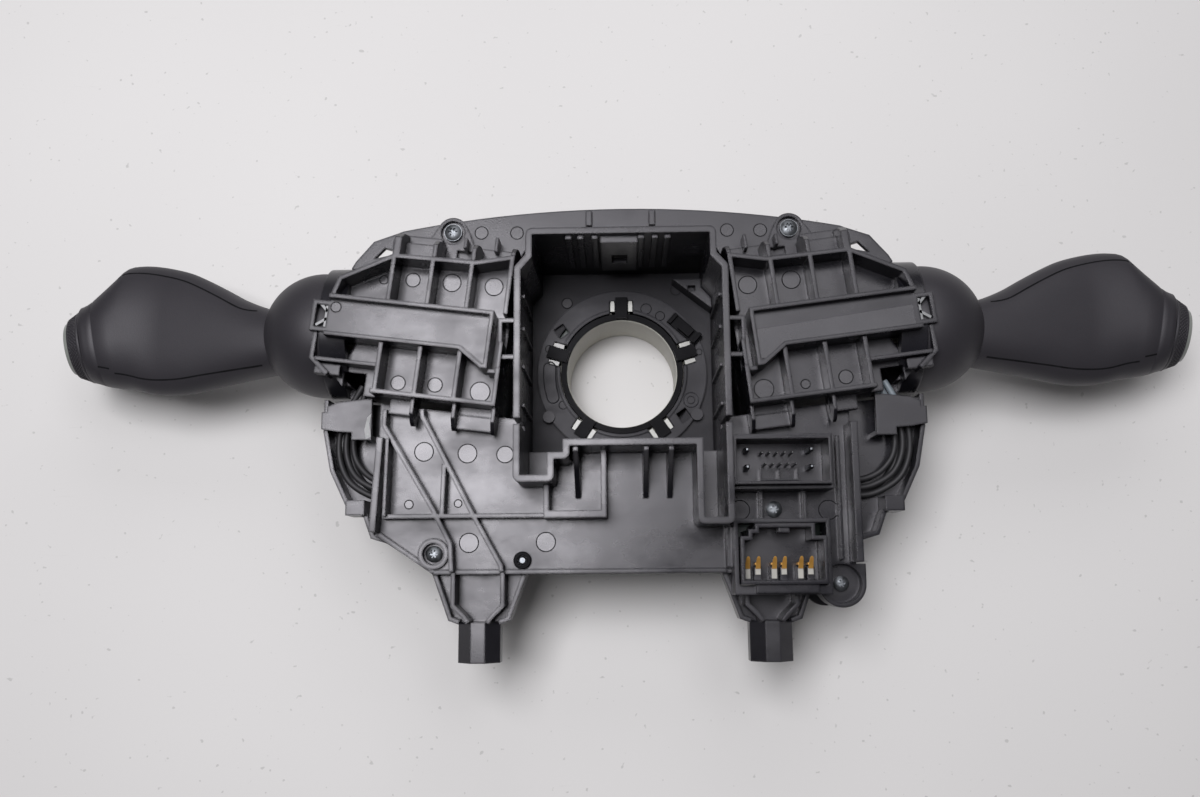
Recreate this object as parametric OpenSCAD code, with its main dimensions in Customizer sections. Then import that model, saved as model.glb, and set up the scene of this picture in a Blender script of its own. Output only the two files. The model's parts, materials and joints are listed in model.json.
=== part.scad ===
// Steering column switch module: clock spring, steering angle sensor and two stalk switches.
// Sizes are in millimetres. The origin is on the steering axis, at the front rim of the hub.
// +Z points to the back of the module; +X is right and +Y is up as seen from the back.

/* [Hub and clock spring] */
// Radius of the bore that the steering column passes through
bore_r = 21.8; // [20.5:0.1:22.2]
// Wall of the hub tube
hub_wall = 1.6; // [1.3:0.1:1.9]
// Outer radius of the clock spring cassette
cassette_r = 49; // [47:0.5:50]
// Wall of the cassette and of its back
cassette_wall = 1.8; // [1.4:0.1:2.2]
// How far the cassette's front rim stands in front of the hub
rim_drop = 0.8; // [0.5:0.1:1.5]
// Height of the cassette's back face above the hub's front rim
cassette_h = 17.4; // [17:0.1:18.5]
// Height of the rotor disc's front face above the hub's front rim
disc_z = 4.6; // [4:0.1:5]
// Thickness of the rotor disc
disc_t = 1.8; // [1.4:0.1:2.2]
// Turns of the ribbon in the cassette
ribbon_turns = 6; // [4:1:7]
// Thickness of the ribbon
ribbon_t = 0.4; // [0.3:0.05:0.6]
// Width of the ribbon
ribbon_w = 7.4; // [6.5:0.1:7.6]
// Distance of each drive pin from the steering axis
drive_pin_at = 34; // [32:0.5:38]
// Radius of a drive pin
drive_pin_r = 3; // [2.5:0.1:3.5]

/* [Steering angle sensor] */
// Teeth of the ring gear on the hub
ring_teeth = 65; // [65:1:65]
// Teeth of the first measuring gear
gear_a_teeth = 18; // [17:1:18]
// Teeth of the second measuring gear
gear_b_teeth = 19; // [19:1:19]
// Module of the sensor gears
gear_module = 0.8; // [0.79:0.01:0.81]
// Width of the sensor gears
gear_t = 2.2; // [1.8:0.1:2.4]
// Radius of the sensor cover on the floor of the well
cover_r = 34; // [33:0.1:34.6]
// Thickness of the sensor cover
cover_t = 2; // [1.6:0.1:2.4]

/* [Well and rear housing] */
// Half of the well's inner width
well_half_w = 36; // [35.4:0.1:36.4]
// Half of the inner width of the well's narrow top end
neck_half_w = 32; // [30:0.5:33]
// Inner face of the well's top wall
well_top_y = 41.5; // [40:0.5:42]
// Inner face of the well's lower wall
well_low_y = -33; // [-34:0.5:-32]
// Wall of the well
well_wall = 2.4; // [2:0.1:2.6]
// Height of the well's rim
well_rim_z = 78; // [74:1:80]
// Height of the well's floor
floor_z = 26; // [25.8:0.1:26.2]
// Height of the base plate's upper face
plate_z = 54; // [53:0.5:55]
// Thickness of the base plate
plate_t = 2.4; // [2:0.1:3]
// Thickness of the stiffening ribs
rib_t = 1.6; // [1.2:0.1:2]
// Height of the stiffening ribs above the base plate
rib_h = 6; // [4:0.5:8]
// Height of the tall side walls
side_wall_z = 66; // [62:1:68]

/* [Front shell] */
// Half of the width of the arched top
arch_half_w = 88.5; // [86:0.5:89]
// Top of the arch on the centre line
arch_top_y = 60.7; // [59:0.5:62]
// Radius of the arch
arch_r = 455; // [420:5:500]
// Height of the arched plate's upper face
arch_z = 50; // [49:0.5:51]
// Thickness of the front shell's walls
shell_t = 2.2; // [1.8:0.1:2.4]

/* [Switch blocks] */
// Angle by which the outer end of each switch block is raised
tilt = 7; // [6.5:0.5:7.5]
// Distance between the well's wall and the inner end of a switch block
block_clear = 4.6; // [4.4:0.1:5.6]
// Outer end of a switch block's rail, along the block
block_out = 108.5; // [107.5:0.5:110]
// Lower face of a switch block
block_lo = -25.3; // [-26:0.1:-25]
// Upper face of a switch block at its shoulder
block_hi = 27.2; // [26.5:0.1:28]
// Lower edge of the rail
rail_lo = -6.2; // [-7:0.1:-5.5]
// Upper edge of the rail
rail_hi = 9.3; // [8.5:0.1:10]
// Pitch of the cell walls
cell_pitch = 14.5; // [14:0.1:14.6]
// Height of the floor of the cells
cell_floor_z = 59; // [58.8:0.1:59.6]
// Height of the tops of the cell walls
cell_top_z = 70; // [67:0.5:71]
// Height of the smooth floor of the rail
rail_floor_z = 68; // [67.5:0.5:69]
// Height of the rims of the rail
rail_rim_z = 71.5; // [71:0.5:73]
// Wall of the switch housings
block_wall = 2; // [1.6:0.1:2.2]
// Height of the switch housings' front face
block_front_z = 22; // [21:0.5:22.5]

/* [Stalks] */
// Distance of each stalk's pivot from the steering axis
pivot_x = 115; // [114:0.5:116]
// Height of the stalks' pivots above the steering axis
pivot_y = 13.3; // [12.5:0.1:14]
// Height of the stalks' pivots above the hub's front rim
pivot_z = 41; // [40.5:0.1:41.2]
// Radius of the round dome at the root of a stalk
dome_r = 24.3; // [23.8:0.1:24.4]
// Wall of the dome
dome_wall = 1.8; // [1.4:0.1:2]
// Angle by which the stalks lean towards the driver
stalk_dip = 6; // [5:0.5:7]
// Length of a stalk from its pivot to its tip
stalk_len = 107.6; // [105:0.2:110]
// Radius of the rotary knob at its seam
knob_r = 14.8; // [14.4:0.1:15.2]
// Angle by which the knob's axis leans back from the stalk
knob_tilt = 15; // [12:1:16]
// Angle by which the knob's axis leans down from the stalk
knob_yaw = 11; // [8:1:12]
// Half thickness of the stalk's paddle
paddle_half_t = 11.5; // [10:0.5:13]
// Radius of the pivot pins
pin_r = 1.5; // [1.2:0.1:1.8]

/* [Connectors] */
// Centre of both connectors, to the right of the steering axis
conn_x = 56.2; // [55.8:0.1:56.6]
// Centre of the upper connector, above the steering axis
header_y = -40.4; // [-40.8:0.1:-40]
// Inner width of the upper connector
header_w = 32.4; // [31.5:0.1:32.8]
// Inner height of the upper connector
header_h = 15; // [14:0.1:15.4]
// Top of the upper connector
header_z = 72; // [70:0.5:73]
// Centre of the lower connector, above the steering axis
plug_y = -73; // [-73.5:0.1:-72.6]
// Inner width of the lower connector
plug_w = 27.6; // [26.5:0.1:28]
// Inner height of the lower connector
plug_h = 18.4; // [17.5:0.1:18.6]
// Top of the lower connector
plug_z = 68; // [66:0.5:69]
// Height of the control board's lower face
board_z = 39; // [38:0.5:40]
// Thickness of the control board
board_t = 1.6; // [1.2:0.1:2]

/* [Feet] */
// Distance of each foot from the centre line
foot_x = 53.1; // [51:0.1:54]
// Lower end of the feet
foot_y = -111; // [-113:0.5:-109]
// Length of the feet
foot_len = 14.5; // [13:0.5:15]
// Height of the feet's axes
foot_z = 47; // [46.5:0.5:47.5]
// Half width of a foot
foot_r = 7.7; // [7:0.1:8]
// Radius of the screw bore in a foot
foot_bore_r = 2.6; // [2:0.1:3]

/* [Fits] */
// Radial clearance of shafts that turn
running = 0.05; // [0.03:0.01:0.08]
// Gap between bodies that move past each other
gap = 0.3; // [0.2:0.05:0.4]
// Gap between a dome and the collar round it
dome_gap = 0.5; // [0.4:0.05:0.8]
// Gap between fixed pieces that are fitted together
seat = 0.2; // [0.1:0.05:0.3]

/* [Hidden] */
$fn = 64;
e = 0.01;

black = [0.10, 0.10, 0.11];
grey = [0.28, 0.28, 0.30];
pale = [0.86, 0.84, 0.78];
steel = [0.72, 0.73, 0.75];
gold = [0.85, 0.62, 0.25];
green = [0.12, 0.32, 0.20];

// Heights that stack up from the hub's front rim
hub_out_r = bore_r + hub_wall;
cassette_in_r = cassette_r - cassette_wall;
cassette_back_z = cassette_h - cassette_wall;
shell_z = cassette_h + seat;
shell_top_z = shell_z + shell_t;
gear_z = shell_top_z + gap;
board_under_floor_z = floor_z - 2 - 0.9;
cover_top_z = floor_z + cover_t;
hub_top_z = cover_top_z - 0.6;
hub_low_z = hub_top_z - 1.4;
block_split_z = pivot_z;
block_in = well_half_w + well_wall + block_clear;
arch_centre_y = arch_top_y - arch_r;
header_floor_z = header_z - 14;
plug_floor_z = plug_z - 13;
board_top_z = board_z + board_t;

// Shared helpers

// The left-hand pieces mirror the right-hand ones
module on_side(side) {
    if (side < 0) mirror([1, 0, 0]) children();
    else children();
}

// Frame of a switch block: first axis outwards along the block, second axis across it
module tilted() {
    rotate([0, 0, tilt]) children();
}

// Frame of a stalk switch's pivot, square to the module
module at_pivot() {
    translate([pivot_x, pivot_y, pivot_z]) children();
}

// Frame of a stalk: first axis along the stalk from its pivot
module at_stalk() {
    at_pivot() rotate([0, stalk_dip, 0]) children();
}

// Straight wall from a to b, of thickness t, between heights z0 and z1
module wall(a, b, t, z0, z1) {
    run = b - a;
    translate([a[0], a[1], z0]) rotate([0, 0, atan2(run[1], run[0])])
        translate([0, -t / 2, 0]) cube([norm(run), t, z1 - z0]);
}

function wall_normal(a, b) = let (d = (b - a) / norm(b - a)) [-d[1], d[0]];
function mitre(points, i, t) =
    let (n = len(points), n1 = wall_normal(points[max(0, i - 1)], points[max(1, i)]),
         n2 = wall_normal(points[min(n - 2, i)], points[min(n - 1, i + 1)]))
    (n1 + n2) / (1 + n1 * n2) * t / 2;

// Wall along a list of points, with mitred corners
module wall_path(points, t, z0, z1) {
    last = len(points) - 1;
    translate([0, 0, z0]) linear_extrude(z1 - z0) polygon(concat(
        [for (i = [0:last]) points[i] + mitre(points, i, t)],
        [for (i = [last:-1:0]) points[i] - mitre(points, i, t)]));
}

module ring(r_out, r_in, h) {
    difference() {
        cylinder(r = r_out, h = h);
        translate([0, 0, -1]) cylinder(r = r_in, h = h + 2);
    }
}

// Box given by its two opposite corners
module block(low, high) {
    translate(low) cube(high - low);
}

// Torx pan head screw, head up, with its seat at the origin
module screw(head_r, shank_r, length) {
    difference() {
        union() {
            cylinder(r = head_r, h = 1.6);
            translate([0, 0, 1.6]) intersection() {
                translate([0, 0, -head_r * 1.7 + 1]) sphere(r = head_r * 1.7);
                cylinder(r = head_r, h = 3);
            }
            translate([0, 0, -length]) cylinder(r = shank_r, h = length);
        }
        for (k = [0:2]) rotate([0, 0, 60 * k])
            translate([-head_r * 0.5, -head_r * 0.13, 1]) cube([head_r, head_r * 0.26, 4]);
    }
}

// Rounded outline from straight corners
module rounded(r) {
    offset(r = r, $fn = 24) offset(delta = -r) children();
}

// Clock spring cassette

// Screw lugs of the cassette, as angles round the steering axis
lug_angles = [90, 235, 305];
lug_at = cassette_r + 3.8;
lug_r = 4;
lug_t = 2.6;
cassette_screw_r = 1.5;

module stator_housing() color(black) {
    difference() {
        union() {
            translate([0, 0, -rim_drop]) ring(cassette_r, cassette_in_r, cassette_h + rim_drop);
            translate([0, 0, cassette_back_z]) cylinder(r = cassette_r, h = cassette_wall);
            for (a = lug_angles) rotate([0, 0, a]) {
                translate([lug_at, 0, cassette_h - lug_t]) cylinder(r = lug_r, h = lug_t);
                block([cassette_r - 1, -lug_r, cassette_h - lug_t], [lug_at, lug_r, cassette_h]);
            }
            for (k = [0:23]) rotate([0, 0, 15 * k + 5])
                block([cassette_r - 0.5, -0.6, 1], [cassette_r + 0.6, 0.6, cassette_h - lug_t - 1]);
        }
        translate([0, 0, -rim_drop - 1]) cylinder(r = cassette_in_r, h = cassette_back_z + rim_drop + 1);
        cylinder(r = hub_out_r + 1, h = cassette_h + 1);
        for (a = lug_angles) rotate([0, 0, a]) translate([lug_at, 0, 0])
            cylinder(r = cassette_screw_r + 0.1, h = cassette_h + 1, $fn = 32);
    }
}

module cassette_screws() color(steel)
    for (a = lug_angles) rotate([0, 0, a]) translate([lug_at, 0, cassette_h - lug_t])
        rotate([180, 0, 0]) screw(3, cassette_screw_r, lug_t + seat + shell_t);

// Hub tube with the disc that turns in the cassette, and the two pins that the wheel drives
socket_w = 15;
socket_h = 8;
socket_at = 35.5;
rotor_r = cassette_in_r - 0.6;

module rotor_hub() color(pale) {
    difference() {
        union() {
            cylinder(r = hub_out_r, h = hub_low_z, $fn = 96);
            translate([0, 0, disc_z]) cylinder(r = rotor_r, h = disc_t, $fn = 96);
            for (s = [-1, 1]) translate([s * drive_pin_at, 0, 0.4])
                cylinder(r = drive_pin_r, h = disc_z, $fn = 48);
            for (k = [0:11]) rotate([0, 0, 30 * k + 15])
                block([hub_out_r - 0.5, -0.6, disc_z - 1.6], [rotor_r - 3, 0.6, disc_z + e]);
            translate([0, 0, disc_z - 1.6]) ring(rotor_r - 2, rotor_r - 3.6, 1.7);
        }
        translate([0, 0, -1]) cylinder(r = bore_r, h = hub_top_z + 2, $fn = 96);
        for (s = [-1, 1]) block([-socket_w / 2 - seat, s * socket_at - socket_h / 2 - seat, -1],
            [socket_w / 2 + seat, s * socket_at + socket_h / 2 + seat, disc_z + e]);
    }
}

module wheel_sockets() color(grey)
    for (s = [-1, 1]) difference() {
        block([-socket_w / 2, s * socket_at - socket_h / 2, 0.2],
            [socket_w / 2, s * socket_at + socket_h / 2, disc_z]);
        block([-socket_w / 2 + 1, s * socket_at - socket_h / 2 + 1, -1],
            [socket_w / 2 - 1, s * socket_at + socket_h / 2 - 1, disc_z - 0.8]);
    }

sheet_t = 0.3;
module slip_sheet() color(pale)
    translate([0, 0, disc_z + disc_t + seat]) ring(cassette_in_r - 0.4, hub_out_r + 0.4, sheet_t);

// The flat cable winds as a spiral between the hub and the cassette's wall
ribbon_in_r = hub_out_r + 2;
ribbon_out_r = cassette_in_r - 1.4;
ribbon_steps = 24 * ribbon_turns;
ribbon_z = disc_z + disc_t + seat + sheet_t + seat;

function ribbon_point(i, off) =
    let (a = 360 * ribbon_turns * i / ribbon_steps,
         r = ribbon_in_r + (ribbon_out_r - ribbon_in_r) * i / ribbon_steps + off)
    [r * cos(a), r * sin(a)];

module ribbon() color([0.80, 0.50, 0.22])
    translate([0, 0, ribbon_z]) linear_extrude(ribbon_w)
        polygon(concat([for (i = [0:ribbon_steps]) ribbon_point(i, -ribbon_t / 2)],
            [for (i = [ribbon_steps:-1:0]) ribbon_point(i, ribbon_t / 2)]));

// Ring that covers the hub's back rim, and the hooks of the sensor cover that hold it
hook_angles = [90, 163, 17, 236, 304];
hook_w = 4.8;
hook_room = 9.4;
hook_at = hub_out_r + 6.2;
snap_ring_z = gear_z + gear_t + 0.1;

module hub_snap_ring() color(black)
    difference() {
        translate([0, 0, snap_ring_z]) cylinder(r = hub_out_r + 1, h = hub_top_z - snap_ring_z, $fn = 96);
        translate([0, 0, -1]) cylinder(r = hub_out_r, h = hub_low_z + 1, $fn = 96);
        cylinder(r = bore_r + gap, h = hub_top_z + 1, $fn = 96);
    }

// Steering angle sensor

ring_pitch_r = ring_teeth * gear_module / 2;
ring_step = 360 / ring_teeth;
post_r = 1.5;

function gear_at(direction_teeth, teeth) =
    let (a = direction_teeth * ring_step, d = (ring_teeth + teeth) * gear_module / 2)
    [d * cos(a), d * sin(a)];

// Straight-flanked gear outline with a tooth on the first axis
module gear_outline(teeth) {
    pitch_r = teeth * gear_module / 2;
    tip = pitch_r + gear_module * 0.85;
    root = pitch_r - gear_module * 1.15;
    step = 360 / teeth;
    polygon([for (k = [0:teeth - 1], p = [[root, -0.27], [tip, -0.11], [tip, 0.11], [root, 0.27]])
        [p[0] * cos(step * (k + p[1])), p[0] * sin(step * (k + p[1]))]]);
}

module sensor_ring_gear() color(pale)
    translate([0, 0, gear_z]) difference() {
        linear_extrude(gear_t) gear_outline(ring_teeth);
        translate([0, 0, -1]) cylinder(r = hub_out_r, h = gear_t + 2, $fn = 96);
    }

module measuring_gear(teeth, direction_teeth) {
    at = gear_at(direction_teeth, teeth);
    translate([at[0], at[1], gear_z]) difference() {
        rotate([0, 0, direction_teeth * ring_step + 180 + 180 / teeth])
            linear_extrude(gear_t) gear_outline(teeth);
        translate([0, 0, -1]) cylinder(r = post_r + running, h = gear_t + 2, $fn = 32);
    }
}

gear_a_dir = 11;
gear_b_dir = 22;

module sensor_gear_a() color([0.75, 0.76, 0.72]) measuring_gear(gear_a_teeth, gear_a_dir);

module sensor_gear_b() color([0.62, 0.66, 0.70]) measuring_gear(gear_b_teeth, gear_b_dir);

module sensor_board() color(green)
    translate([0, 0, board_under_floor_z]) linear_extrude(0.8 - 0.1) difference() {
        intersection() {
            circle(r = 39.5);
            translate([-30, 8]) square([60, 40]);
        }
        circle(r = hub_out_r + 3.6);
    }

latch_at = [25.5, 17.5];
module sensor_cover() color(grey) {
    difference() {
        union() {
            translate([0, 0, floor_z]) cylinder(r = cover_r, h = cover_t, $fn = 96);
            translate([0, 0, floor_z]) ring(hub_out_r + 2.6, hub_out_r + 1.2, cover_t + 0.5, $fn = 96);
        }
        cylinder(r = hub_out_r + 1.0 + gap, h = cover_top_z + 9, $fn = 96);
        block([-cover_r - 1, -cover_r - 1, floor_z - 1], [cover_r + 1, well_low_y + seat, cover_top_z + 1]);
        for (a = hook_angles) rotate([0, 0, a])
            block([hub_out_r, -hook_room / 2, floor_z - 1], [hook_at, hook_room / 2, cover_top_z + 1]);
        for (p = [[-24.2, 17.4], [24.4, -17.4]]) translate([p[0], p[1], floor_z - 1])
            rotate([0, 0, 35]) block([-2.2, -2.2, 0], [2.2, 2.2, cover_t + 2]);
        for (p = rivet_places) translate([p[0], p[1], floor_z - 1])
            cylinder(r = 1.3, h = cover_t + 2, $fn = 32);
        translate([latch_at[0], latch_at[1], cover_top_z - 0.8]) rotate([0, 0, -42])
            block([-7.5, -2.6, 0], [7.5, 2.6, 3]);
    }
    for (a = hook_angles) rotate([0, 0, a]) {
        block([bore_r + 0.6, -hook_w / 2, cover_top_z - 0.2], [hook_at + 1.2, hook_w / 2, cover_top_z + 1.2]);
        block([hook_at - 0.6, -hook_w / 2, floor_z + 0.6], [hook_at + 0.5, hook_w / 2, cover_top_z + 1.2]);
    }
}

// Slide that locks the hub for transport, in its groove in the sensor cover
module sensor_latch() color(black)
    translate([latch_at[0], latch_at[1], cover_top_z - 0.8]) rotate([0, 0, -42]) {
        block([-7.3, -2.4, 0], [7.3, 2.4, 1.2]);
        block([-2.4, -1.9, 1.2], [3.2, 1.9, 3.2]);
        block([5.2, -2.4, 1.2], [6.6, 2.4, 3.8]);
        block([-7.0, -2.4, 1.2], [-5.8, 2.4, 2.6]);
    }

module sensor_wedge() color(grey)
    translate([0, 0, floor_z]) difference() {
        linear_extrude(9) polygon([[20.5, 36.5], [neck_half_w - seat, 36.5], [neck_half_w - seat, neck_y],
            [well_half_w - seat, shoulder_y], [well_half_w - seat, 24.5]]);
        translate([26.5, 31.6, 6]) cube([3, 2.2, 4]);
        cylinder(r = cover_r + seat, h = 3);
    }

rivet_places = [[-29.2, -17.6], [29.5, -17.2]];
module sensor_rivets() color([0.55, 0.55, 0.57])
    for (p = rivet_places) translate([p[0], p[1], 0]) {
        translate([0, 0, floor_z - 2]) cylinder(r = 1.25, h = cover_t + 2, $fn = 32);
        translate([0, 0, cover_top_z]) cylinder(r = 2.4, h = 1, $fn = 32);
    }

// Rear housing

// Lower ends of the two open channels at the sides of the well
left_channel_y = -45.5;
right_channel_y = -60.5;
left_channel_x = -(well_half_w - 9.5);
right_channel_x = well_half_w - 8;
channel_floor_z = 40;
neck_y = 33;
shoulder_y = 28.5;

module well_outline() polygon([[-neck_half_w, well_top_y], [neck_half_w, well_top_y], [neck_half_w, neck_y],
    [well_half_w, shoulder_y], [well_half_w, right_channel_y], [right_channel_x, right_channel_y],
    [right_channel_x, well_low_y], [-21, well_low_y], [-21, well_low_y - 4.6],
    [left_channel_x, well_low_y - 4.6], [left_channel_x, left_channel_y], [-well_half_w, left_channel_y],
    [-well_half_w, shoulder_y], [-neck_half_w, neck_y]]);

module well_outer() rounded(2.4) offset(delta = well_wall) well_outline();

module well_walls() {
    difference() {
        translate([0, 0, floor_z - 2]) linear_extrude(well_rim_z - floor_z + 2) well_outer();
        translate([0, 0, floor_z]) linear_extrude(well_rim_z) intersection() {
            well_outline();
            translate([-60, well_low_y]) square([120, 100]);
        }
        translate([0, 0, channel_floor_z]) linear_extrude(well_rim_z) well_outline();
        translate([0, 0, floor_z - 3]) cylinder(r = 29.5, h = 4);
        for (s = [-1, 1]) block([s * (well_half_w + 1.2) - 2.4, -27.6, plate_z + 4],
            [s * (well_half_w + 1.2) + 2.4, -25.4, well_rim_z + 1]);
        for (p = rivet_places) translate([p[0], p[1], floor_z - 3]) cylinder(r = 1.3, h = 4, $fn = 32);
    }
    translate([0, 0, shell_top_z + seat]) linear_extrude(floor_z - 2 - shell_top_z - seat + e) difference() {
        well_outer();
        offset(delta = -well_wall) well_outer();
    }
    // Slats and the centre panel on the inner face of the top wall
    for (x = [-19, -14.6, -9.4, 7.4, 12.4, 17]) block([x - 1.1, well_top_y - 1.4, floor_z + 14],
        [x + 1.1, well_top_y + e, well_rim_z - 2]);
    difference() {
        block([-7.4, well_top_y - 2.6, floor_z + 14], [6.2, well_top_y + e, well_rim_z - 3]);
        block([-3.4, well_top_y - 5, floor_z + 24], [2.4, well_top_y - 0.6, floor_z + 34]);
    }
    // Diagonal ribs on the side faces
    for (s = [-1, 1], y = [-20, -6, 8, 20]) {
        block([s * (well_half_w - 0.5) - 0.5, y - 0.6, floor_z + 10],
            [s * (well_half_w - 0.5) + 0.5, y + 0.6, well_rim_z - 6]);
    }
}

// Outline of the base plate round the well
plate_left_x = -90.6;
plate_right_x = 84;
plate_low_y = -79.4;
tall_wall_x = 83;
tab_at = [78.8, -83.5];
tab_r = 8.6;

function block_side_y(x, off) = (block_lo - off + abs(x) * sin(tilt)) / cos(tilt);

module plate_outline() {
    in = well_half_w + well_wall + 0.6;
    polygon([[plate_left_x, block_side_y(plate_left_x, 1.6)], [-in, block_side_y(in, 1.6)], [-in, -30],
        [in, -30], [in, block_side_y(in, 1.6)], [plate_right_x, block_side_y(plate_right_x, 1.6)],
        [plate_right_x, -76.5], [tab_at[0] + tab_r, -76.5], [tab_at[0] + tab_r, tab_at[1]],
        [tab_at[0] - tab_r, tab_at[1]], [tab_at[0] - tab_r, plate_low_y], [-69, plate_low_y],
        [plate_left_x - 0.8, -65]]);
    translate(tab_at) circle(r = tab_r);
}

// Places of the three screws that hold the rear housing
screw_places = [[-69.5, -71.9], [54.8, -56.7], tab_at];
stud_at = [-37, -74.4];
screw_boss_r = 4.2;
housing_screw_r = 1.6;

// Feet with their brackets
module foot(side) {
    translate([side * foot_x, 0, 0]) {
        difference() {
            translate([0, foot_y + foot_len, foot_z]) rotate([90, 0, 0]) linear_extrude(foot_len)
                polygon([[-foot_r, -foot_r + 3], [-foot_r + 3, -foot_r], [foot_r - 3, -foot_r],
                    [foot_r, -foot_r + 3], [foot_r, 2], [2.6, foot_r - 0.5],
                    [-2.6, foot_r - 0.5], [-foot_r, 2]]);
            translate([0, foot_y - 1, foot_z]) rotate([-90, 0, 0])
                cylinder(r = foot_bore_r, h = foot_len - 1, $fn = 48);
        }
        translate([0, 0, foot_z - 3]) linear_extrude(2.4)
            polygon([[-17, plate_low_y + 1], [17.6, plate_low_y + 1], [11.5, foot_y + foot_len + 1.5],
                [7.6, foot_y + foot_len], [-7.6, foot_y + foot_len], [-10.2, foot_y + foot_len + 1.5]]);
        for (s = [-1, 1]) wall_path([[s * 16.8, plate_low_y + 1], [s * 10.6, foot_y + foot_len + 1.2],
            [s * 7.2, foot_y + foot_len]], rib_t, foot_z - 6, foot_z + 4);
        for (s = [-1, 1]) wall_path([[s * 9, plate_low_y + 1], [s * 9, -90.5], [s * 5.2, -94.2],
            [s * 3.4, foot_y + foot_len]], rib_t, foot_z - 3, plate_z + 2);
        block([-17, plate_low_y, foot_z - 6], [17.6, plate_low_y + 2, plate_z - plate_t + e]);
    }
}

// Trough for the cables at the side of the housing
trough_top_y = -13.9;
trough_out_x = 112.4;
trough_points = [[plate_right_x - 0.5, block_side_y(plate_right_x - 0.5, 0.8)], [101, trough_top_y],
    [trough_out_x, trough_top_y], [trough_out_x, -26], [109.4, -41], [102.6, -55],
    [96.4, -58], [93.4, -66], [plate_right_x - 0.5, -69]];
trough_z = 42;

module cable_trough(side) on_side(side) {
    difference() {
        translate([0, 0, trough_z]) linear_extrude(plate_z - 2 - trough_z) polygon(trough_points);
        translate([0, 0, trough_z + 2]) linear_extrude(20) offset(delta = -rib_t) polygon(concat(
            [[plate_right_x - 4, trough_top_y + 6], [trough_out_x, trough_top_y + 6]],
            [for (i = [3:7]) trough_points[i]], [[plate_right_x - 4, -69]]));
    }
    block([95.4, -57.5, trough_z], [102.4, -52, plate_z + 1]);
}

module skirt_outline() {
    polygon([[plate_left_x, -30], [plate_right_x, -30], [plate_right_x, -76.5], [68, plate_low_y],
        [-69, plate_low_y], [plate_left_x - 0.8, -65]]);
}

module rear_housing() color(black) {
    difference() {
        union() {
            well_walls();
            translate([0, 0, plate_z - plate_t]) linear_extrude(plate_t) difference() {
                plate_outline();
                offset(delta = -0.5) well_outer();
            }
            // Skirt that closes the electronics space down to the front shell
            translate([0, 0, shell_top_z + seat]) linear_extrude(plate_z - plate_t - shell_top_z - seat + e)
                difference() {
                    skirt_outline();
                    offset(delta = -shell_t) skirt_outline();
                    offset(delta = -0.5) well_outer();
                }
            for (p = screw_places) translate([p[0], p[1], shell_top_z + seat]) {
                cylinder(r = screw_boss_r, h = plate_z - shell_top_z - seat, $fn = 48);
                cylinder(r = screw_boss_r + 1.6, h = board_z - shell_top_z - seat, $fn = 48);
            }
            translate([screw_places[0][0], screw_places[0][1], plate_z - e]) ring(5.6, 3.9, 2);
            translate([stud_at[0], stud_at[1], plate_z - e]) ring(3.0, 1.7, 1.2);
            // Connector frames
            block([conn_x - header_w / 2 - 2.2, header_y - header_h / 2 - 2.4, plate_z - e],
                [conn_x + header_w / 2 + 2.2, header_y + header_h / 2 + 2.2, header_z - 4]);
            block([conn_x - plug_w / 2 - 3.4, plug_y - plug_h / 2 - 5, plate_z - plate_t],
                [conn_x + plug_w / 2 + 3.4, plug_y + plug_h / 2 + 3.4, plug_z - 4]);
            for (s = [-1, 1]) foot(s);
            for (s = [-1, 1]) cable_trough(s);
            // Tab of the third screw
            translate([tab_at[0], tab_at[1], plate_z - 10]) cylinder(r = tab_r, h = 10);
        }
        // Passages for the connectors
        block([conn_x - header_w / 2 - 1.2, header_y - header_h / 2 - 1.2, board_z],
            [conn_x + header_w / 2 + 1.2, header_y + header_h / 2 + 1.2, header_z + 1]);
        block([conn_x - plug_w / 2 - 1.8, plug_y - plug_h / 2 - 1.8, board_z],
            [conn_x + plug_w / 2 + 1.8, plug_y + plug_h / 2 + 1.8, plug_z + 1]);
        for (p = screw_places) translate([p[0], p[1], 0]) {
            cylinder(r = housing_screw_r + 0.1, h = plate_z + 9, $fn = 32);
        }
        translate([screw_places[0][0], screw_places[0][1], plate_z - 1]) cylinder(r = 3.8, h = 9, $fn = 48);
        translate([tab_at[0], tab_at[1], plate_z - 4]) cylinder(r = 7, h = 5, $fn = 48);
        translate([stud_at[0], stud_at[1], plate_z - 4]) cylinder(r = 1.6, h = 9, $fn = 32);
        // Ports that let the cables in from the troughs
        block([80, -53.4, trough_z + 2], [86, -43.6, plate_z - plate_t - 2]);
        block([-93, -53.4, trough_z + 2], [-80, -43.6, plate_z - plate_t - 2]);
    }
    lower_ribs();
}

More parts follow.
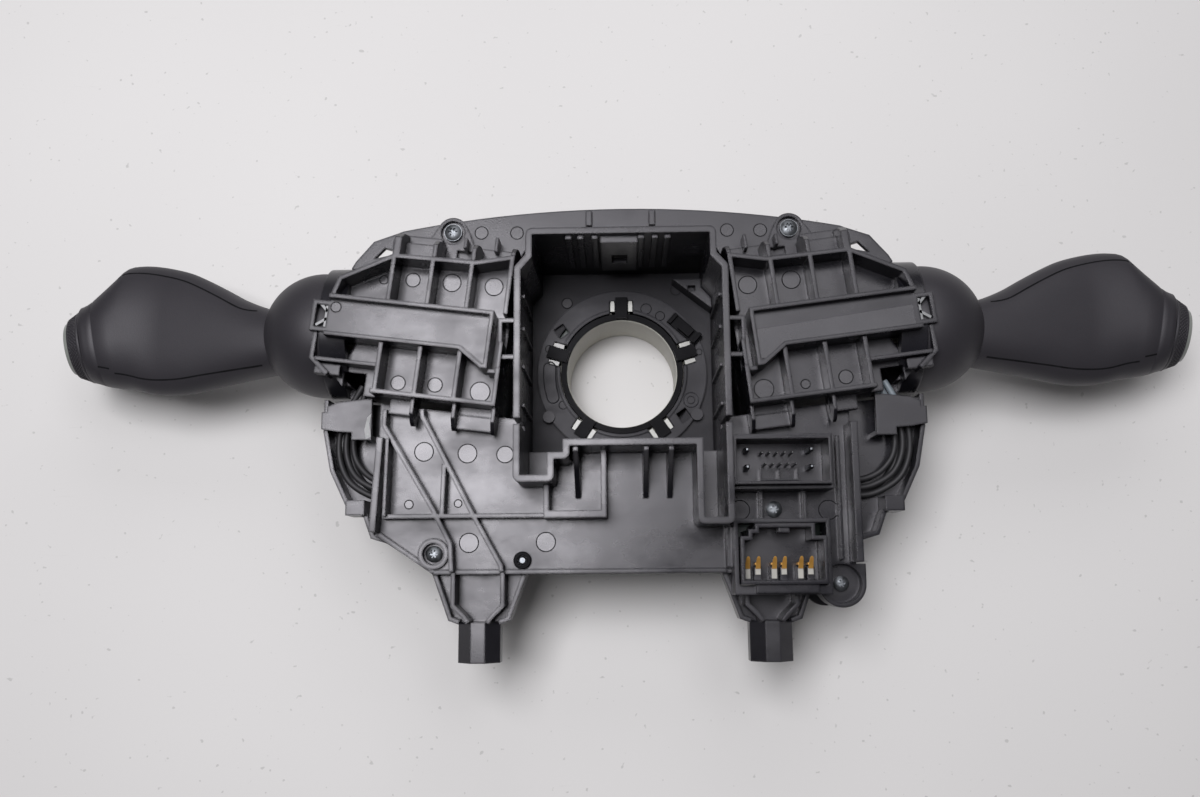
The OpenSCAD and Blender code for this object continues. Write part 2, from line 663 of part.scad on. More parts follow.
// Ribs and walls that stand on the base plate
rib_y = -58.4;
module lower_ribs() {
    top = plate_z + rib_h;
    z0 = plate_z - e;
    wall_path([[-87.6, rib_y], [-6.4, rib_y]], rib_t, z0, top);
    wall([-66, rib_y], [-65.4, -39.4], rib_t, z0, top);
    // Two diagonal ribs that carry the load of the left foot
    wall_path([[-87.6, -19], [-87.9, -25], [-69, -56.6], [-62.8, -68.5], [-62.2, plate_low_y + 1]],
        rib_t, z0, top);
    wall_path([[-74, -19], [-73.8, -21.6], [-54.8, -57.8], [-44.4, -76.4], [-44.1, plate_low_y + 1]],
        rib_t, z0, top);
    wall([-88.8, -29.6], [-90.8, -64], 2.4, z0, side_wall_z - 4);
    wall([-86, -30], [-86.6, rib_y], 1.2, z0, side_wall_z - 4);
    wall([tall_wall_x, -26], [tall_wall_x, -76], 2.6, z0, side_wall_z);
    wall([tall_wall_x - 4.4, -30], [tall_wall_x - 4.4, -75], 1.4, z0, plate_z + 3);
    wall([plate_left_x + 0.6, -64.4], [-69.4, plate_low_y + 1], rib_t, z0, plate_z + 1.6);
    wall([-69.4, plate_low_y + 0.9], [37, plate_low_y + 0.9], rib_t, z0, plate_z + 1.6);
    // Box pocket and gussets below the well
    wall([-7, well_low_y - 2], [-7, rib_y], 2, z0, plate_z + 12);
    wall([left_channel_x - 1.1, left_channel_y], [left_channel_x - 1.1, rib_y], 2, z0, plate_z + 12);
    wall([left_channel_x - 1.9, rib_y], [-6, rib_y], 2.6, z0, plate_z + 12);
    for (x = [-16.6, 8.2, 17]) gusset([x, well_low_y - 2], 17, 22);
    // Webs between the two connectors
    for (x = [50, 65.6]) wall([x, header_y - header_h / 2 - 2], [x, plug_y + plug_h / 2 + 3],
        1.2, z0, plate_z + 5);
    block([37, -77.5, z0], [41, -63, plate_z + 5]);
}

// Triangular gusset that leans on the well's lower wall
module gusset(at, length, height) {
    translate([at[0] + 0.9, at[1], plate_z - e]) rotate([90, 0, -90]) linear_extrude(1.8)
        polygon([[0, 0], [length, 0], [length, 1], [2, height], [0, height]]);
}

// Front shell

module arch_outline() {
    rounded(5) intersection() {
        translate([0, arch_centre_y]) circle(r = arch_r, $fn = 360);
        polygon([[-arch_half_w, 40], [-well_half_w - 4, 39], [-well_half_w - 1, well_top_y + well_wall + 0.6],
            [well_half_w + 1, well_top_y + well_wall + 0.6], [well_half_w + 4, 39], [arch_half_w, 40],
            [arch_half_w, 80], [-arch_half_w, 80]]);
    }
}

module front_plate_outline() {
    in = well_half_w + well_wall + 2;
    polygon([[-in, 46], [in, 46], [in, -24], [60, -26], [plate_right_x, -24], [plate_right_x, -76.5],
        [68, plate_low_y], [-69, plate_low_y], [plate_left_x - 0.8, -65], [plate_left_x, -24], [-60, -26],
        [-in, -24]]);
    translate(tab_at) circle(r = tab_r);
    polygon([[60, -70], [plate_right_x, -70], tab_at + [tab_r, 0], tab_at - [tab_r, 0]]);
}

switch_screw_at = [64.7, 51.2];
tray_rib_xs = [-58, -12, 14, 67];

module front_shell() color(grey) {
    difference() {
        union() {
            translate([0, 0, shell_z]) linear_extrude(shell_t) {
                front_plate_outline();
                arch_outline();
            }
            translate([0, 0, shell_z]) linear_extrude(arch_z - shell_z) difference() {
                arch_outline();
                offset(delta = -shell_t) arch_outline();
            }
            translate([0, 0, arch_z - shell_t]) linear_extrude(shell_t) arch_outline();
            for (s = [-1, 1]) translate([s * switch_screw_at[0], switch_screw_at[1], shell_z])
                cylinder(r = 4.6, h = arch_z - shell_z, $fn = 48);
            for (x = [-12.2, 12.2]) block([x - 1.1, 53.6, arch_z - e], [x + 1.1, 59.6, arch_z + 1.8]);
            for (g = [[gear_a_dir, gear_a_teeth], [gear_b_dir, gear_b_teeth]]) {
                at = gear_at(g[0], g[1]);
                translate([at[0], at[1], shell_top_z - e]) {
                    cylinder(r = post_r, h = gear_t + gap + 0.2, $fn = 32);
                    cylinder(r = post_r + 1.4, h = gap - 0.1, $fn = 32);
                }
            }
        }
        cylinder(r = ring_pitch_r + 2.4, h = 60, $fn = 96);
        for (p = screw_places) translate([p[0], p[1], 0]) cylinder(r = housing_screw_r, h = 40, $fn = 32);
        for (a = lug_angles) rotate([0, 0, a]) translate([lug_at, 0, 0])
            cylinder(r = cassette_screw_r, h = 40, $fn = 32);
        for (s = [-1, 1]) translate([s * switch_screw_at[0], switch_screw_at[1], arch_z - 14])
            cylinder(r = switch_screw_r, h = 20, $fn = 32);
    }
    // Ribs under the lower tray
    for (x = tray_rib_xs) wall([x, plate_low_y + 4], [x, min(-38, well_low_y - well_wall - 2)], rib_t,
        shell_top_z - e, shell_top_z + 5);
}

// Electronics

module control_board() color(green)
    translate([0, 0, board_z]) linear_extrude(board_t) difference() {
        offset(delta = -shell_t - 1) skirt_outline();
        offset(delta = 1) well_outer();
        for (p = screw_places) translate(p) circle(r = screw_boss_r + seat, $fn = 48);
    }

module upper_header() color(black)
    difference() {
        block([conn_x - header_w / 2 - 1, header_y - header_h / 2 - 1, board_top_z],
            [conn_x + header_w / 2 + 1, header_y + header_h / 2 + 1, header_z]);
        block([conn_x - header_w / 2, header_y - header_h / 2, header_floor_z],
            [conn_x + header_w / 2, header_y + header_h / 2, header_z + 1]);
        block([conn_x - header_w / 2 + 1, header_y - header_h / 2 + 1, board_top_z - 1],
            [conn_x + header_w / 2 - 1, header_y + header_h / 2 - 1, header_floor_z - 2]);
        for (p = header_pins) pin_hole(p, header_floor_z);
    }

// Pins of the upper connector: place and width
header_pins = concat(
    [for (x = [-11.8, 11], y = [4.4, -1.8]) [conn_x + x, header_y + y, 1.5]],
    [for (k = [0:4]) [conn_x - 6.6 + 2.7 * k, header_y + 3.2, 0.7]],
    [for (k = [0:4]) [conn_x - 5.4 + 2.7 * k, header_y - 0.8, 0.7]]);

module pin_hole(p, z)
    block([p[0] - p[2] / 2, p[1] - p[2] / 2, z - 3], [p[0] + p[2] / 2, p[1] + p[2] / 2, z + 1]);

module upper_header_pins() color(steel)
    for (p = header_pins) block([p[0] - p[2] / 2, p[1] - p[2] / 2, board_top_z],
        [p[0] + p[2] / 2, p[1] + p[2] / 2, header_floor_z + 9]);

// Terminals of the lower connector, as distances from its centre line
terminal_xs = [-12.1, -8.4, -2.6, 0.9, 6.8, 10.4];
terminal_y = plug_y - 3.4;

module plug_outline(grow) offset(delta = grow) polygon([
    [-plug_w / 2, -plug_h / 2], [plug_w / 2, -plug_h / 2], [plug_w / 2, plug_h / 2 - 4.4],
    [9.6, plug_h / 2 - 4.4], [9.6, plug_h / 2], [-8.6, plug_h / 2],
    [-8.6, plug_h / 2 - 2], [-11, plug_h / 2 - 2], [-11, plug_h / 2 - 4.4], [-plug_w / 2, plug_h / 2 - 4.4]]);

module lower_connector() color(black) {
    difference() {
        union() {
            translate([conn_x, plug_y, board_top_z]) linear_extrude(plug_z - board_top_z) plug_outline(1.4);
            translate([conn_x, plug_y - plug_h / 2 - 1.2, plug_z - 3.8]) block([-10, -3.2, 0], [12, 1, 2.6]);
        }
        translate([conn_x, plug_y, plug_floor_z]) linear_extrude(20) plug_outline(0);
        translate([conn_x, plug_y, board_top_z - 1])
            linear_extrude(plug_floor_z - 2 - board_top_z + 1) plug_outline(-1);
        for (x = terminal_xs) block([conn_x + x - 0.9, terminal_y - 0.4, board_top_z - 1],
            [conn_x + x + 0.9, terminal_y + 0.4, plug_floor_z + 1]);
    }
    // Latch tab and the comb behind the terminals
    block([conn_x - 1.8, plug_y + plug_h / 2 - 1.8, plug_z - 6],
        [conn_x + 2.2, plug_y + plug_h / 2 + e, plug_z - 1]);
    for (x = terminal_xs) block([conn_x + x - 1.4, plug_y - plug_h / 2 - e, plug_floor_z - e],
        [conn_x + x + 1.4, terminal_y - 1, plug_floor_z + 4]);
}

module lower_connector_pins() color(gold)
    for (x = terminal_xs) block([conn_x + x - 0.9, terminal_y - 0.4, board_top_z],
        [conn_x + x + 0.9, terminal_y + 0.4, plug_floor_z + 8]);

module plate_stud() color(steel)
    translate([stud_at[0], stud_at[1], plate_z - 3.6]) {
        cylinder(r = 1.5, h = 4.2, $fn = 32);
        translate([0, 0, 4.2]) cylinder(r1 = 1.5, r2 = 1, h = 0.4, $fn = 32);
    }

// Radius of each screw's head, and how far its seat lies below the base plate's face
housing_screw_heads = [[3, 1], [2.9, 0], [2.7, 4]];
module housing_screws() color(steel)
    for (i = [0:2]) {
        seat_z = plate_z - housing_screw_heads[i][1];
        translate([screw_places[i][0], screw_places[i][1], seat_z])
            screw(housing_screw_heads[i][0], housing_screw_r - 0.05, seat_z - shell_z);
    }

switch_screw_r = 1.6;
flange_t = 2.6;
recess_t = 1.6;
recess_r = 4.6;

module switch_screws() color(steel)
    for (s = [-1, 1]) translate([s * switch_screw_at[0], switch_screw_at[1], arch_z + flange_t - recess_t])
        screw(3.4, switch_screw_r - 0.05, flange_t - recess_t + 12);

// Stalk switches

// Place of the fixing screw in the frame of the switch block
flange_screw = [switch_screw_at[0] * cos(tilt) + switch_screw_at[1] * sin(tilt),
    -switch_screw_at[0] * sin(tilt) + switch_screw_at[1] * cos(tilt)];
shoulder_u = 87.4;
cell_end = cell_wall_at(3);

module block_outline() polygon([[block_in, block_lo], [block_out - 9, block_lo], [block_out - 3, -19],
    [block_out, rail_lo], [block_out, rail_hi], [block_out - 2, 16.4], [shoulder_u, block_hi],
    [57, block_hi + 0.5], [block_in, block_hi + 4.1]]);

module rail_outline() polygon([[47.6, rail_hi], [block_out, rail_hi], [block_out, rail_lo], [58.8, rail_lo],
    [50, rail_lo - 6], [47.6, rail_lo - 6]]);

module cavity_ball(extra) at_pivot() sphere(r = dome_r + extra, $fn = 64);

module block_cavity(z0, z1) tilted() translate([0, 0, z0]) linear_extrude(z1 - z0)
    offset(delta = -block_wall) block_outline();

module switch_flange() {
    translate([0, 0, arch_z]) linear_extrude(flange_t) difference() {
        union() {
            polygon([[block_in + 1, block_hi + 2], [block_in + 1, 37.6], [61, 37.6], [64.2, 44], [76.6, 44],
                [79, 39.4], [88.4, 38.4], [90, 23], [80, 25]]);
            translate(flange_screw) circle(r = recess_r + 1.3);
        }
        translate(flange_screw) circle(r = switch_screw_r + 0.1, $fn = 32);
        translate([59.8, 33]) square([7.9, 3]);
    }
    // Ribs that run on from the cells and round down to the flange
    for (k = [0:2]) flange_fin(cell_wall_at(k), block_hi + 9, cell_top_z - 1, rib_t);
    flange_fin(cell_wall_at(3) - 0.6, block_hi + 10.2, cell_top_z, 2.6);
    for (p = [[52.2, 41], [64, 39.6]])
        block([p[0] - 0.6, block_hi + 8.4, arch_z], [p[0] + 0.6, p[1], arch_z + 8]);
    // Stepped hump between the two outer ribs
    block([cell_wall_at(2), block_hi - e, arch_z], [cell_wall_at(3), block_hi + 7, arch_z + 12]);
    block([cell_wall_at(2), block_hi + 7 - e, arch_z], [cell_wall_at(3), block_hi + 11, arch_z + 8]);
}

function cell_wall_at(k) = block_in + 0.8 + cell_pitch * k;

module flange_fin(u, v_out, top, t) {
    reach = v_out - block_hi + 1;
    rise = top - arch_z;
    translate([u + t / 2, block_hi - 1, arch_z]) rotate([90, 0, -90]) mirror([1, 0, 0]) linear_extrude(t)
        polygon([[0, 0], [reach, 0], [reach, rise * 0.5], [reach - 1.2, rise * 0.8],
            [reach - 3.6, rise], [0, rise]]);
}

// Ribs that hang over the base plate below the block, and the bars between them
module lower_fins() {
    z0 = plate_z + 0.8;
    rise = cell_top_z - 4 - z0;
    for (k = [0:2]) translate([cell_wall_at(k) + 0.65 + (k == 2 ? 0.8 : 0), block_lo + 1, z0])
        rotate([90, 0, -90]) linear_extrude(1.3)
            polygon([[0, 0], [7, 0], [10, 2.4], [10.4, 5], [9.4, 7.6], [6.4, rise], [0, rise]]);
    block([cell_wall_at(0), block_lo - 3.2, z0 + 1], [cell_wall_at(1), block_lo + 1, z0 + 4]);
    block([cell_wall_at(0), block_lo - 8.4, z0], [cell_wall_at(1), block_lo - 3.2 + e, z0 + 5]);
    block([cell_wall_at(2), block_lo - 5.4, z0], [cell_wall_at(3) - 4, block_lo + 1, z0 + 4.4]);
}

// Thin wing outside the shoulder, with a notch
wing_z = arch_z - 2;
module wing() difference() {
    tilted() translate([0, 0, wing_z - 2.4]) linear_extrude(2.4) difference() {
        polygon([[shoulder_u - 1, block_hi - 1], [90, 42], [92.1, 42], [101.7, 37.3], [107.6, 28.4],
            [108.7, 25.8], [block_out - 2.6, 15]]);
        polygon([[100.7, 30.5], [97, 35.3], [94, 34.8], [93.7, 32.8]]);
    }
    translate([0, 0, wing_z - 4]) linear_extrude(8) offset(delta = seat) arch_outline();
}

// Small frame between the block and the well's wall
module well_side_frame() {
    x_in = well_half_w + well_wall + seat;
    for (y = [-2.2, 11.4]) block([x_in, y, cell_floor_z - e], [45, y + 1.6, cell_top_z - 2]);
    block([43.6, -2.2, cell_floor_z - e], [45, 13, cell_top_z - 2]);
}

module block_cells() {
    difference() {
        translate([0, 0, cell_floor_z - e]) linear_extrude(cell_top_z - cell_floor_z) intersection() {
            difference() {
                block_outline();
                offset(delta = -rib_t) block_outline();
            }
            union() {
                translate([block_in - 1, rail_hi - 1]) square([70, 40]);
                translate([block_in - 1, block_lo - 1])
                    square([cell_end - block_in + 2.6, rail_lo - block_lo + 1]);
            }
        }
        translate([block_in - 1, rail_lo - 7, cell_floor_z + 1]) cube([4, rail_hi - rail_lo + 9, 20]);
    }
    for (k = [0:3]) {
        u = cell_wall_at(k);
        wall([u, rail_hi - 0.4], [u, block_hi + (k == 0 ? 3 : 0)], rib_t, cell_floor_z - e, cell_top_z);
        wall([u, block_lo + 0.5], [u, rail_lo - (k == 0 ? 5 : 0.2)], rib_t, cell_floor_z - e, cell_top_z);
    }
    // Small bracket between the rail and the well
    wall_path([[block_in + 1, -1.5], [block_in + 1, -12.6], [47.6, -12.6]],
        1.4, cell_floor_z - e, cell_top_z - 1);
}

module block_rail() {
    difference() {
        translate([0, 0, cell_floor_z - e]) linear_extrude(rail_rim_z - cell_floor_z) rail_outline();
        translate([0, 0, rail_floor_z]) linear_extrude(20) union() {
            offset(delta = -1.5) rail_outline();
            translate([block_out - 4, rail_lo + 1.5]) square([8, rail_hi - rail_lo - 3]);
        }
        translate([0, 0, cell_floor_z - 2]) linear_extrude(rail_floor_z - 2 - cell_floor_z + 2)
            offset(delta = -1.8) rail_outline();
    }
    // Frame of the metal clip at the outer end of the rail
    block([block_out - 1, -4.4, rail_floor_z - 4], [block_out + 6.6, 7.2, rail_floor_z]);
}

// Half collar round the dome, and the end wall that carries it
module dome_collar(z0, z1) intersection() {
    at_pivot() rotate([0, 90, 0]) translate([0, 0, -13]) cylinder(r = dome_r + 1.6, h = 9.5, $fn = 96);
    block([pivot_x - 30, pivot_y - 40, z0], [pivot_x + 30, pivot_y + 40, z1]);
}

module switch_housing() {
    difference() {
        union() {
            tilted() {
                translate([0, 0, block_split_z + seat / 2])
                    linear_extrude(cell_floor_z - block_split_z - seat / 2) block_outline();
                block_cells();
                block_rail();
                switch_flange();
                lower_fins();
                // End frame beside the wires
                wall_path([[block_out + 4.6, -4], [block_out + 4.6, -14], [block_out - 2, -19.6]],
                    1.6, cell_floor_z - 3, cell_top_z - 4);
                block([block_out - 6, -19.4, cell_floor_z - e], [block_out + 3.4, -15.6, cell_top_z - 6]);
                wall([cell_end, -14.4], [block_out + 3, -14.4], 1.4, cell_floor_z - 3, cell_top_z - 3);
            }
            dome_collar(block_split_z + seat, 90);
            wing();
            well_side_frame();
        }
        block_cavity(block_split_z - 1, cell_floor_z - block_wall);
        cavity_ball(dome_gap);
        translate([switch_screw_at[0], switch_screw_at[1], 0]) {
            translate([0, 0, arch_z - 5]) cylinder(r = switch_screw_r + 0.1, h = 30, $fn = 32);
            translate([0, 0, arch_z + flange_t - recess_t]) cylinder(r = recess_r, h = 30, $fn = 48);
        }
        // Window above the cables, window of the clip and port for the cables
        tilted() block([cell_end + 6.4, block_lo - 3, cell_floor_z - 6], [block_out - 6.4, -17, cell_top_z]);
        tilted() block([block_out + 0.6, -2.8, rail_floor_z - 9], [block_out + 5, 5.6, rail_floor_z + 9]);
        tilted() block([block_out - 17, block_lo - 3, 45], [block_out - 6, block_lo + 4, 55]);
    }
}

module switch_cover() {
    difference() {
        union() {
            tilted() translate([0, 0, block_front_z])
                linear_extrude(block_split_z - seat / 2 - block_front_z) block_outline();
            dome_collar(0, block_split_z - seat);
        }
        block_cavity(block_front_z + block_wall, block_split_z + 1);
        cavity_ball(dome_gap);
    }
    tilted() for (k = [0:2]) translate([block_in + 14 + 14 * k, -18, block_front_z - 1.4])
        cube([1.6, 34, 1.5]);
}

module left_switch_housing() color(black) on_side(-1) switch_housing();
module right_switch_housing() color(black) on_side(1) switch_housing();
module left_switch_cover() color(grey) on_side(-1) switch_cover();
module right_switch_cover() color(grey) on_side(1) switch_cover();

// Bracket that carries the gimbal, in the frame of the pivot
arm_h = 4.5;
gimbal_h = 11.4;
gimbal_window = 6.4;
pin_in = gimbal_window + 0.4;
bracket_top = cell_floor_z - block_wall - seat - pivot_z;
bracket_low = pivot_z - block_front_z - block_wall - seat;
bracket_back = -33;
bracket_half_w = 6;

module switch_brackets() color(steel)
    for (s = [-1, 1]) on_side(s) at_pivot() difference() {
        union() {
            block([bracket_back, -bracket_half_w, -bracket_low],
                [bracket_back + 3, bracket_half_w, bracket_top]);
            block([bracket_back, -bracket_half_w, gimbal_h + gap], [5, bracket_half_w, bracket_top]);
            block([bracket_back, -bracket_half_w, -bracket_low], [5, bracket_half_w, -gimbal_h - gap]);
        }
        translate([0, 0, -30]) cylinder(r = pin_r + 0.02, h = 60, $fn = 32);
    }

// The plunger rides on a hollow that is centred on the pivot
track_r = 26.2;
module detent_tracks() color(pale)
    for (s = [-1, 1]) on_side(s) at_pivot() difference() {
        block([bracket_back + 3, -12, -8], [-21, 12, 8]);
        sphere(r = track_r, $fn = 64);
    }

module contact_boards() color(green)
    for (s = [-1, 1]) on_side(s) tilted()
        block([block_in + block_wall + 1, -20, block_front_z + block_wall + 0.3],
            [76, 20, block_front_z + block_wall + 1.7]);

module pivot_pins() color(steel)
    for (s = [-1, 1]) on_side(s) at_pivot() {
        translate([0, 0, pin_in]) cylinder(r = pin_r, h = bracket_top - pin_in, $fn = 32);
        translate([0, 0, -bracket_low]) cylinder(r = pin_r, h = bracket_low - pin_in, $fn = 32);
    }

module gimbal() at_pivot() difference() {
    block([-5.5, -9.5, -gimbal_h], [5.5, 9.5, gimbal_h]);
    block([-9, -arm_h - gap, -gimbal_window], [9, arm_h + gap, gimbal_window]);
    translate([0, 0, -20]) cylinder(r = pin_r + running, h = 40, $fn = 32);
    translate([0, 20, 0]) rotate([90, 0, 0]) cylinder(r = pin_r + 0.02, h = 40, $fn = 32);
}

module left_gimbal() color(pale) on_side(-1) gimbal();
module right_gimbal() color(pale) on_side(1) gimbal();

module cross_pin() at_pivot() translate([0, 9.5, 0]) rotate([90, 0, 0])
    cylinder(r = pin_r, h = 19, $fn = 32);
module left_cross_pin() color(steel) on_side(-1) cross_pin();
module right_cross_pin() color(steel) on_side(1) cross_pin();

// Lever arm with the bore of the plunger at its inner end
plunger_r = 2.4;
arm_back = -22;
arm_front = dome_r - dome_wall - 2;
plunger_tip = track_r - gap;
plunger_len = 11;
spring_wire = 0.5;
plunger_bore_end = -8;

module lever_arm() at_stalk() difference() {
    union() {
        block([arm_back, -arm_h, -arm_h], [12, arm_h, arm_h]);
        translate([9, 0, 0]) rotate([0, 90, 0]) cylinder(r = 7, h = arm_front - 9);
    }
    translate([0, 20, 0]) rotate([90, 0, 0]) cylinder(r = pin_r + running, h = 40, $fn = 32);
    translate([arm_back - 1, 0, 0]) rotate([0, 90, 0])
        cylinder(r = plunger_r + running, h = plunger_bore_end - arm_back + 1, $fn = 32);
}

module left_lever_arm() color(pale) on_side(-1) lever_arm();
module right_lever_arm() color(pale) on_side(1) lever_arm();

module plunger() at_stalk() translate([-plunger_tip, 0, 0]) rotate([0, 90, 0]) {
    intersection() {
        translate([0, 0, plunger_r]) sphere(r = plunger_r, $fn = 32);
        translate([0, 0, -1]) cylinder(r = 9, h = plunger_r + 1);
    }
    translate([0, 0, plunger_r]) cylinder(r = plunger_r, h = plunger_len - plunger_r, $fn = 32);
}

module left_plunger() color([0.5, 0.7, 0.5]) on_side(-1) plunger();
module right_plunger() color([0.5, 0.7, 0.5]) on_side(1) plunger();

// Compression spring behind the plunger, as a stack of rings joined by a strip
module plunger_spring() at_stalk() {
    from = -plunger_tip + plunger_len + 0.05;
    to = plunger_bore_end - 0.05;
    coils = 5;
    translate([from, 0, 0]) rotate([0, 90, 0]) {
        for (k = [0:coils - 1])
            translate([0, 0, spring_wire / 2 + (to - from - spring_wire) * k / (coils - 1)])
            rotate_extrude($fn = 24) translate([plunger_r - 0.8, 0]) square(spring_wire, center = true);
        block([plunger_r - 0.95, -0.2, 0], [plunger_r - 0.65, 0.2, to - from]);
    }
}

module left_plunger_spring() color(steel) on_side(-1) plunger_spring();
module right_plunger_spring() color(steel) on_side(1) plunger_spring();

// Hollow dome, open towards the housing, with a boss that seats on the end of the lever arm
dome_skirt = 8.2;
dome_boss_r = 8;

module dome() at_stalk() rotate([0, 90, 0]) rotate_extrude($fn = 96) {
    difference() {
        intersection() {
            circle(r = dome_r, $fn = 96);
            translate([0, -dome_skirt]) square([dome_r + 1, dome_r + dome_skirt + 1]);
        }
        circle(r = dome_r - dome_wall, $fn = 96);
    }
    intersection() {
        translate([0, arm_front]) square([dome_boss_r, dome_wall + 2]);
        circle(r = dome_r, $fn = 96);
    }
}

module left_dome() color(grey) on_side(-1) dome();
module right_dome() color(grey) on_side(1) dome();

// Stalk: a loft of rounded sections, wide and flat in its middle
section_points = 28;

function smooth(t) = let (c = min(1, max(0, t))) c * c * (3 - 2 * c);
function mix(a, b, t) = a + (b - a) * t;

// Upper and lower edge against the distance from the pivot, drawn for a stalk of this length
drawn_len = 107.6;
stalk_k = stalk_len / drawn_len;
top_edge = [[14, 9.4], [23, 11.4], [33, 15.3], [42, 20.2], [50, 24.4], [57, 27.6], [65, 29.9], [72, 31.2],
    [78, 31.5], [83, 30.7], [85, 28], [93.4, 19.8], [97.2, 16.6], [102, 15], [110, 13.8]];
bottom_edge = [[14, -13], [22, -14.8], [32, -16.5], [47, -19.5], [57, -21.3], [66, -21.5], [72, -20.9],
    [79, -19.2], [89, -17.8], [97, -15.6], [110, -14]];
stations = [14, 19, 24, 29, 33, 38, 42, 46, 50, 54, 58, 62, 66, 70, 74, 78, 81, 83, 85, 89, 93.4, 97.2,
    102, 107.4];

function stalk_top(s) = lookup(s / stalk_k, top_edge);
function stalk_bottom(s) = lookup(s / stalk_k, bottom_edge);
function stalk_half_t(s) = s < 60 ? mix(11.8, paddle_half_t, smooth((s - 20) / 40))
    : mix(paddle_half_t, knob_r + 0.2, smooth((s - 64) / (knob_at - 70)));
function fullness(v, p) = sign(v) * pow(abs(v), p);

function stalk_ring(s, grow) =
    let (top = stalk_top(s) + grow, bottom = stalk_bottom(s) - grow, h = stalk_half_t(s) + grow)
    [for (k = [0:section_points - 1]) let (a = 360 * k / section_points)
        [s, (top + bottom) / 2 + (top - bottom) / 2 * fullness(cos(a), 0.88), h * fullness(sin(a), 0.88)]];

module loft(rings) {
    n = len(rings[0]);
    m = len(rings);
    points = [for (r = rings, p = r) p];
    sides = [for (i = [0:m - 2], k = [0:n - 1]) let (k2 = (k + 1) % n)
        [i * n + k, (i + 1) * n + k, (i + 1) * n + k2, i * n + k2]];
    polyhedron(points = points, faces = concat(sides, [[for (k = [0:n - 1]) k]],
        [[for (k = [n - 1:-1:0]) (m - 1) * n + k]]));
}

module stalk_loft() loft([for (s = stations) stalk_ring(s * stalk_k, 0)]);

// Frame of the knob: first axis outwards along it, from its seam
knob_reach = 8;
knob_at = stalk_len - knob_reach;
knob_drop = 0.6;
module at_knob() at_stalk() translate([knob_at, -knob_drop, 0]) rotate([0, -knob_tilt, -knob_yaw]) children();

// Everything beyond the seam of the knob, and everything inside the dome
module stalk_ends() {
    at_knob() block([0, -50, -50], [60, 50, 50]);
    at_stalk() sphere(r = dome_r, $fn = 64);
}

// Outline of the rear panel between its two seams
seam_in = 4.8;
knob_shaft_r = 6;
catch_r = 7.4;
catch_at = 0.8;
stem_r = 3;
stem_bore = 12;
module panel_outline() polygon(concat(
    [for (s = [18:6:84]) [s, stalk_top(s) - seam_in * smooth((s - 14) / 20)]],
    [[knob_at + 8, stalk_top(84) - seam_in], [knob_at + 8, stalk_bottom(96) + seam_in]],
    [for (s = [90:-6:18]) [s, stalk_bottom(s) + seam_in]]));

module knob_bores() at_knob() {
    translate([-stem_bore, 0, 0]) rotate([0, 90, 0]) cylinder(r = stem_r + running, h = 30, $fn = 32);
}

module stalk_body() difference() {
    union() {
        difference() {
            at_stalk() stalk_loft();
            at_stalk() translate([0, 0, 1]) linear_extrude(40) panel_outline();
            stalk_ends();
        }
        // Shaft of the knob, with the catch that keeps the knob on it
        at_knob() translate([-e, 0, 0]) rotate([0, 90, 0]) cylinder(r = knob_shaft_r, h = gap + button_at);
        at_knob() translate([gap + catch_at + running, 0, 0]) rotate([0, 90, 0])
            cylinder(r = catch_r, h = button_at - catch_at - running);
    }
    knob_bores();
}

module stalk_panel() difference() {
    intersection() {
        at_stalk() stalk_loft();
        at_stalk() translate([0, 0, 1]) linear_extrude(40) panel_outline();
    }
    stalk_ends();
    knob_bores();
}

module left_stalk_body() color(grey) on_side(-1) stalk_body();
module right_stalk_body() color(grey) on_side(1) stalk_body();
module left_stalk_panel() color(grey) on_side(-1) stalk_panel();
module right_stalk_panel() color(grey) on_side(1) stalk_panel();

// Rotary knob round an end button that is pressed
knob_len = 5.3;
button_r = 11.2;
lip_r = button_r + 1.1;
button_at = 1.8;
button_travel = 1.8;
stem_len = 13;

module knob() at_knob() translate([gap, 0, 0]) rotate([0, 90, 0]) difference() {
    rotate_extrude() polygon([[0, 0], [knob_r, 0], [knob_r, 0.8], [knob_r - 0.3, 1.1], [lip_r, knob_len - 0.3],
        [lip_r - 0.3, knob_len], [0, knob_len]]);
    translate([0, 0, button_at]) cylinder(r = button_r + gap, h = knob_len);
    translate([0, 0, catch_at]) cylinder(r = catch_r + gap, h = knob_len);
    translate([0, 0, -1]) cylinder(r = knob_shaft_r + running, h = knob_len);
}

module end_button() at_knob() translate([gap, 0, 0]) rotate([0, 90, 0]) {
    base = button_at + button_travel;
    tip = knob_reach - gap;
    rotate_extrude() polygon([[0, base - stem_len], [stem_r, base - stem_len], [stem_r, base],
        [button_r, base], [button_r, knob_len], [button_r - 0.8, tip - 0.8], [button_r - 3, tip - 0.2], [0, tip]]);
}

module left_knob() color(grey) on_side(-1) knob();
module right_knob() color(grey) on_side(1) knob();
module left_end_button() color(pale) on_side(-1) end_button();
module right_end_button() color(pale) on_side(1) end_button();

// Metal clips in the windows at the ends of the rails
module end_clips() color(steel)
    for (s = [-1, 1]) on_side(s) tilted() {
        block([block_out + 0.8, -2.6, rail_floor_z - 1.6], [block_out + 4.8, -1.6, rail_floor_z - 0.6]);
        block([block_out + 0.8, 4.4, rail_floor_z - 1.6], [block_out + 4.8, 5.4, rail_floor_z - 0.6]);
        block([block_out + 0.8, -2.6, rail_floor_z - 1.6], [block_out + 1.6, 5.4, rail_floor_z - 0.6]);
    }

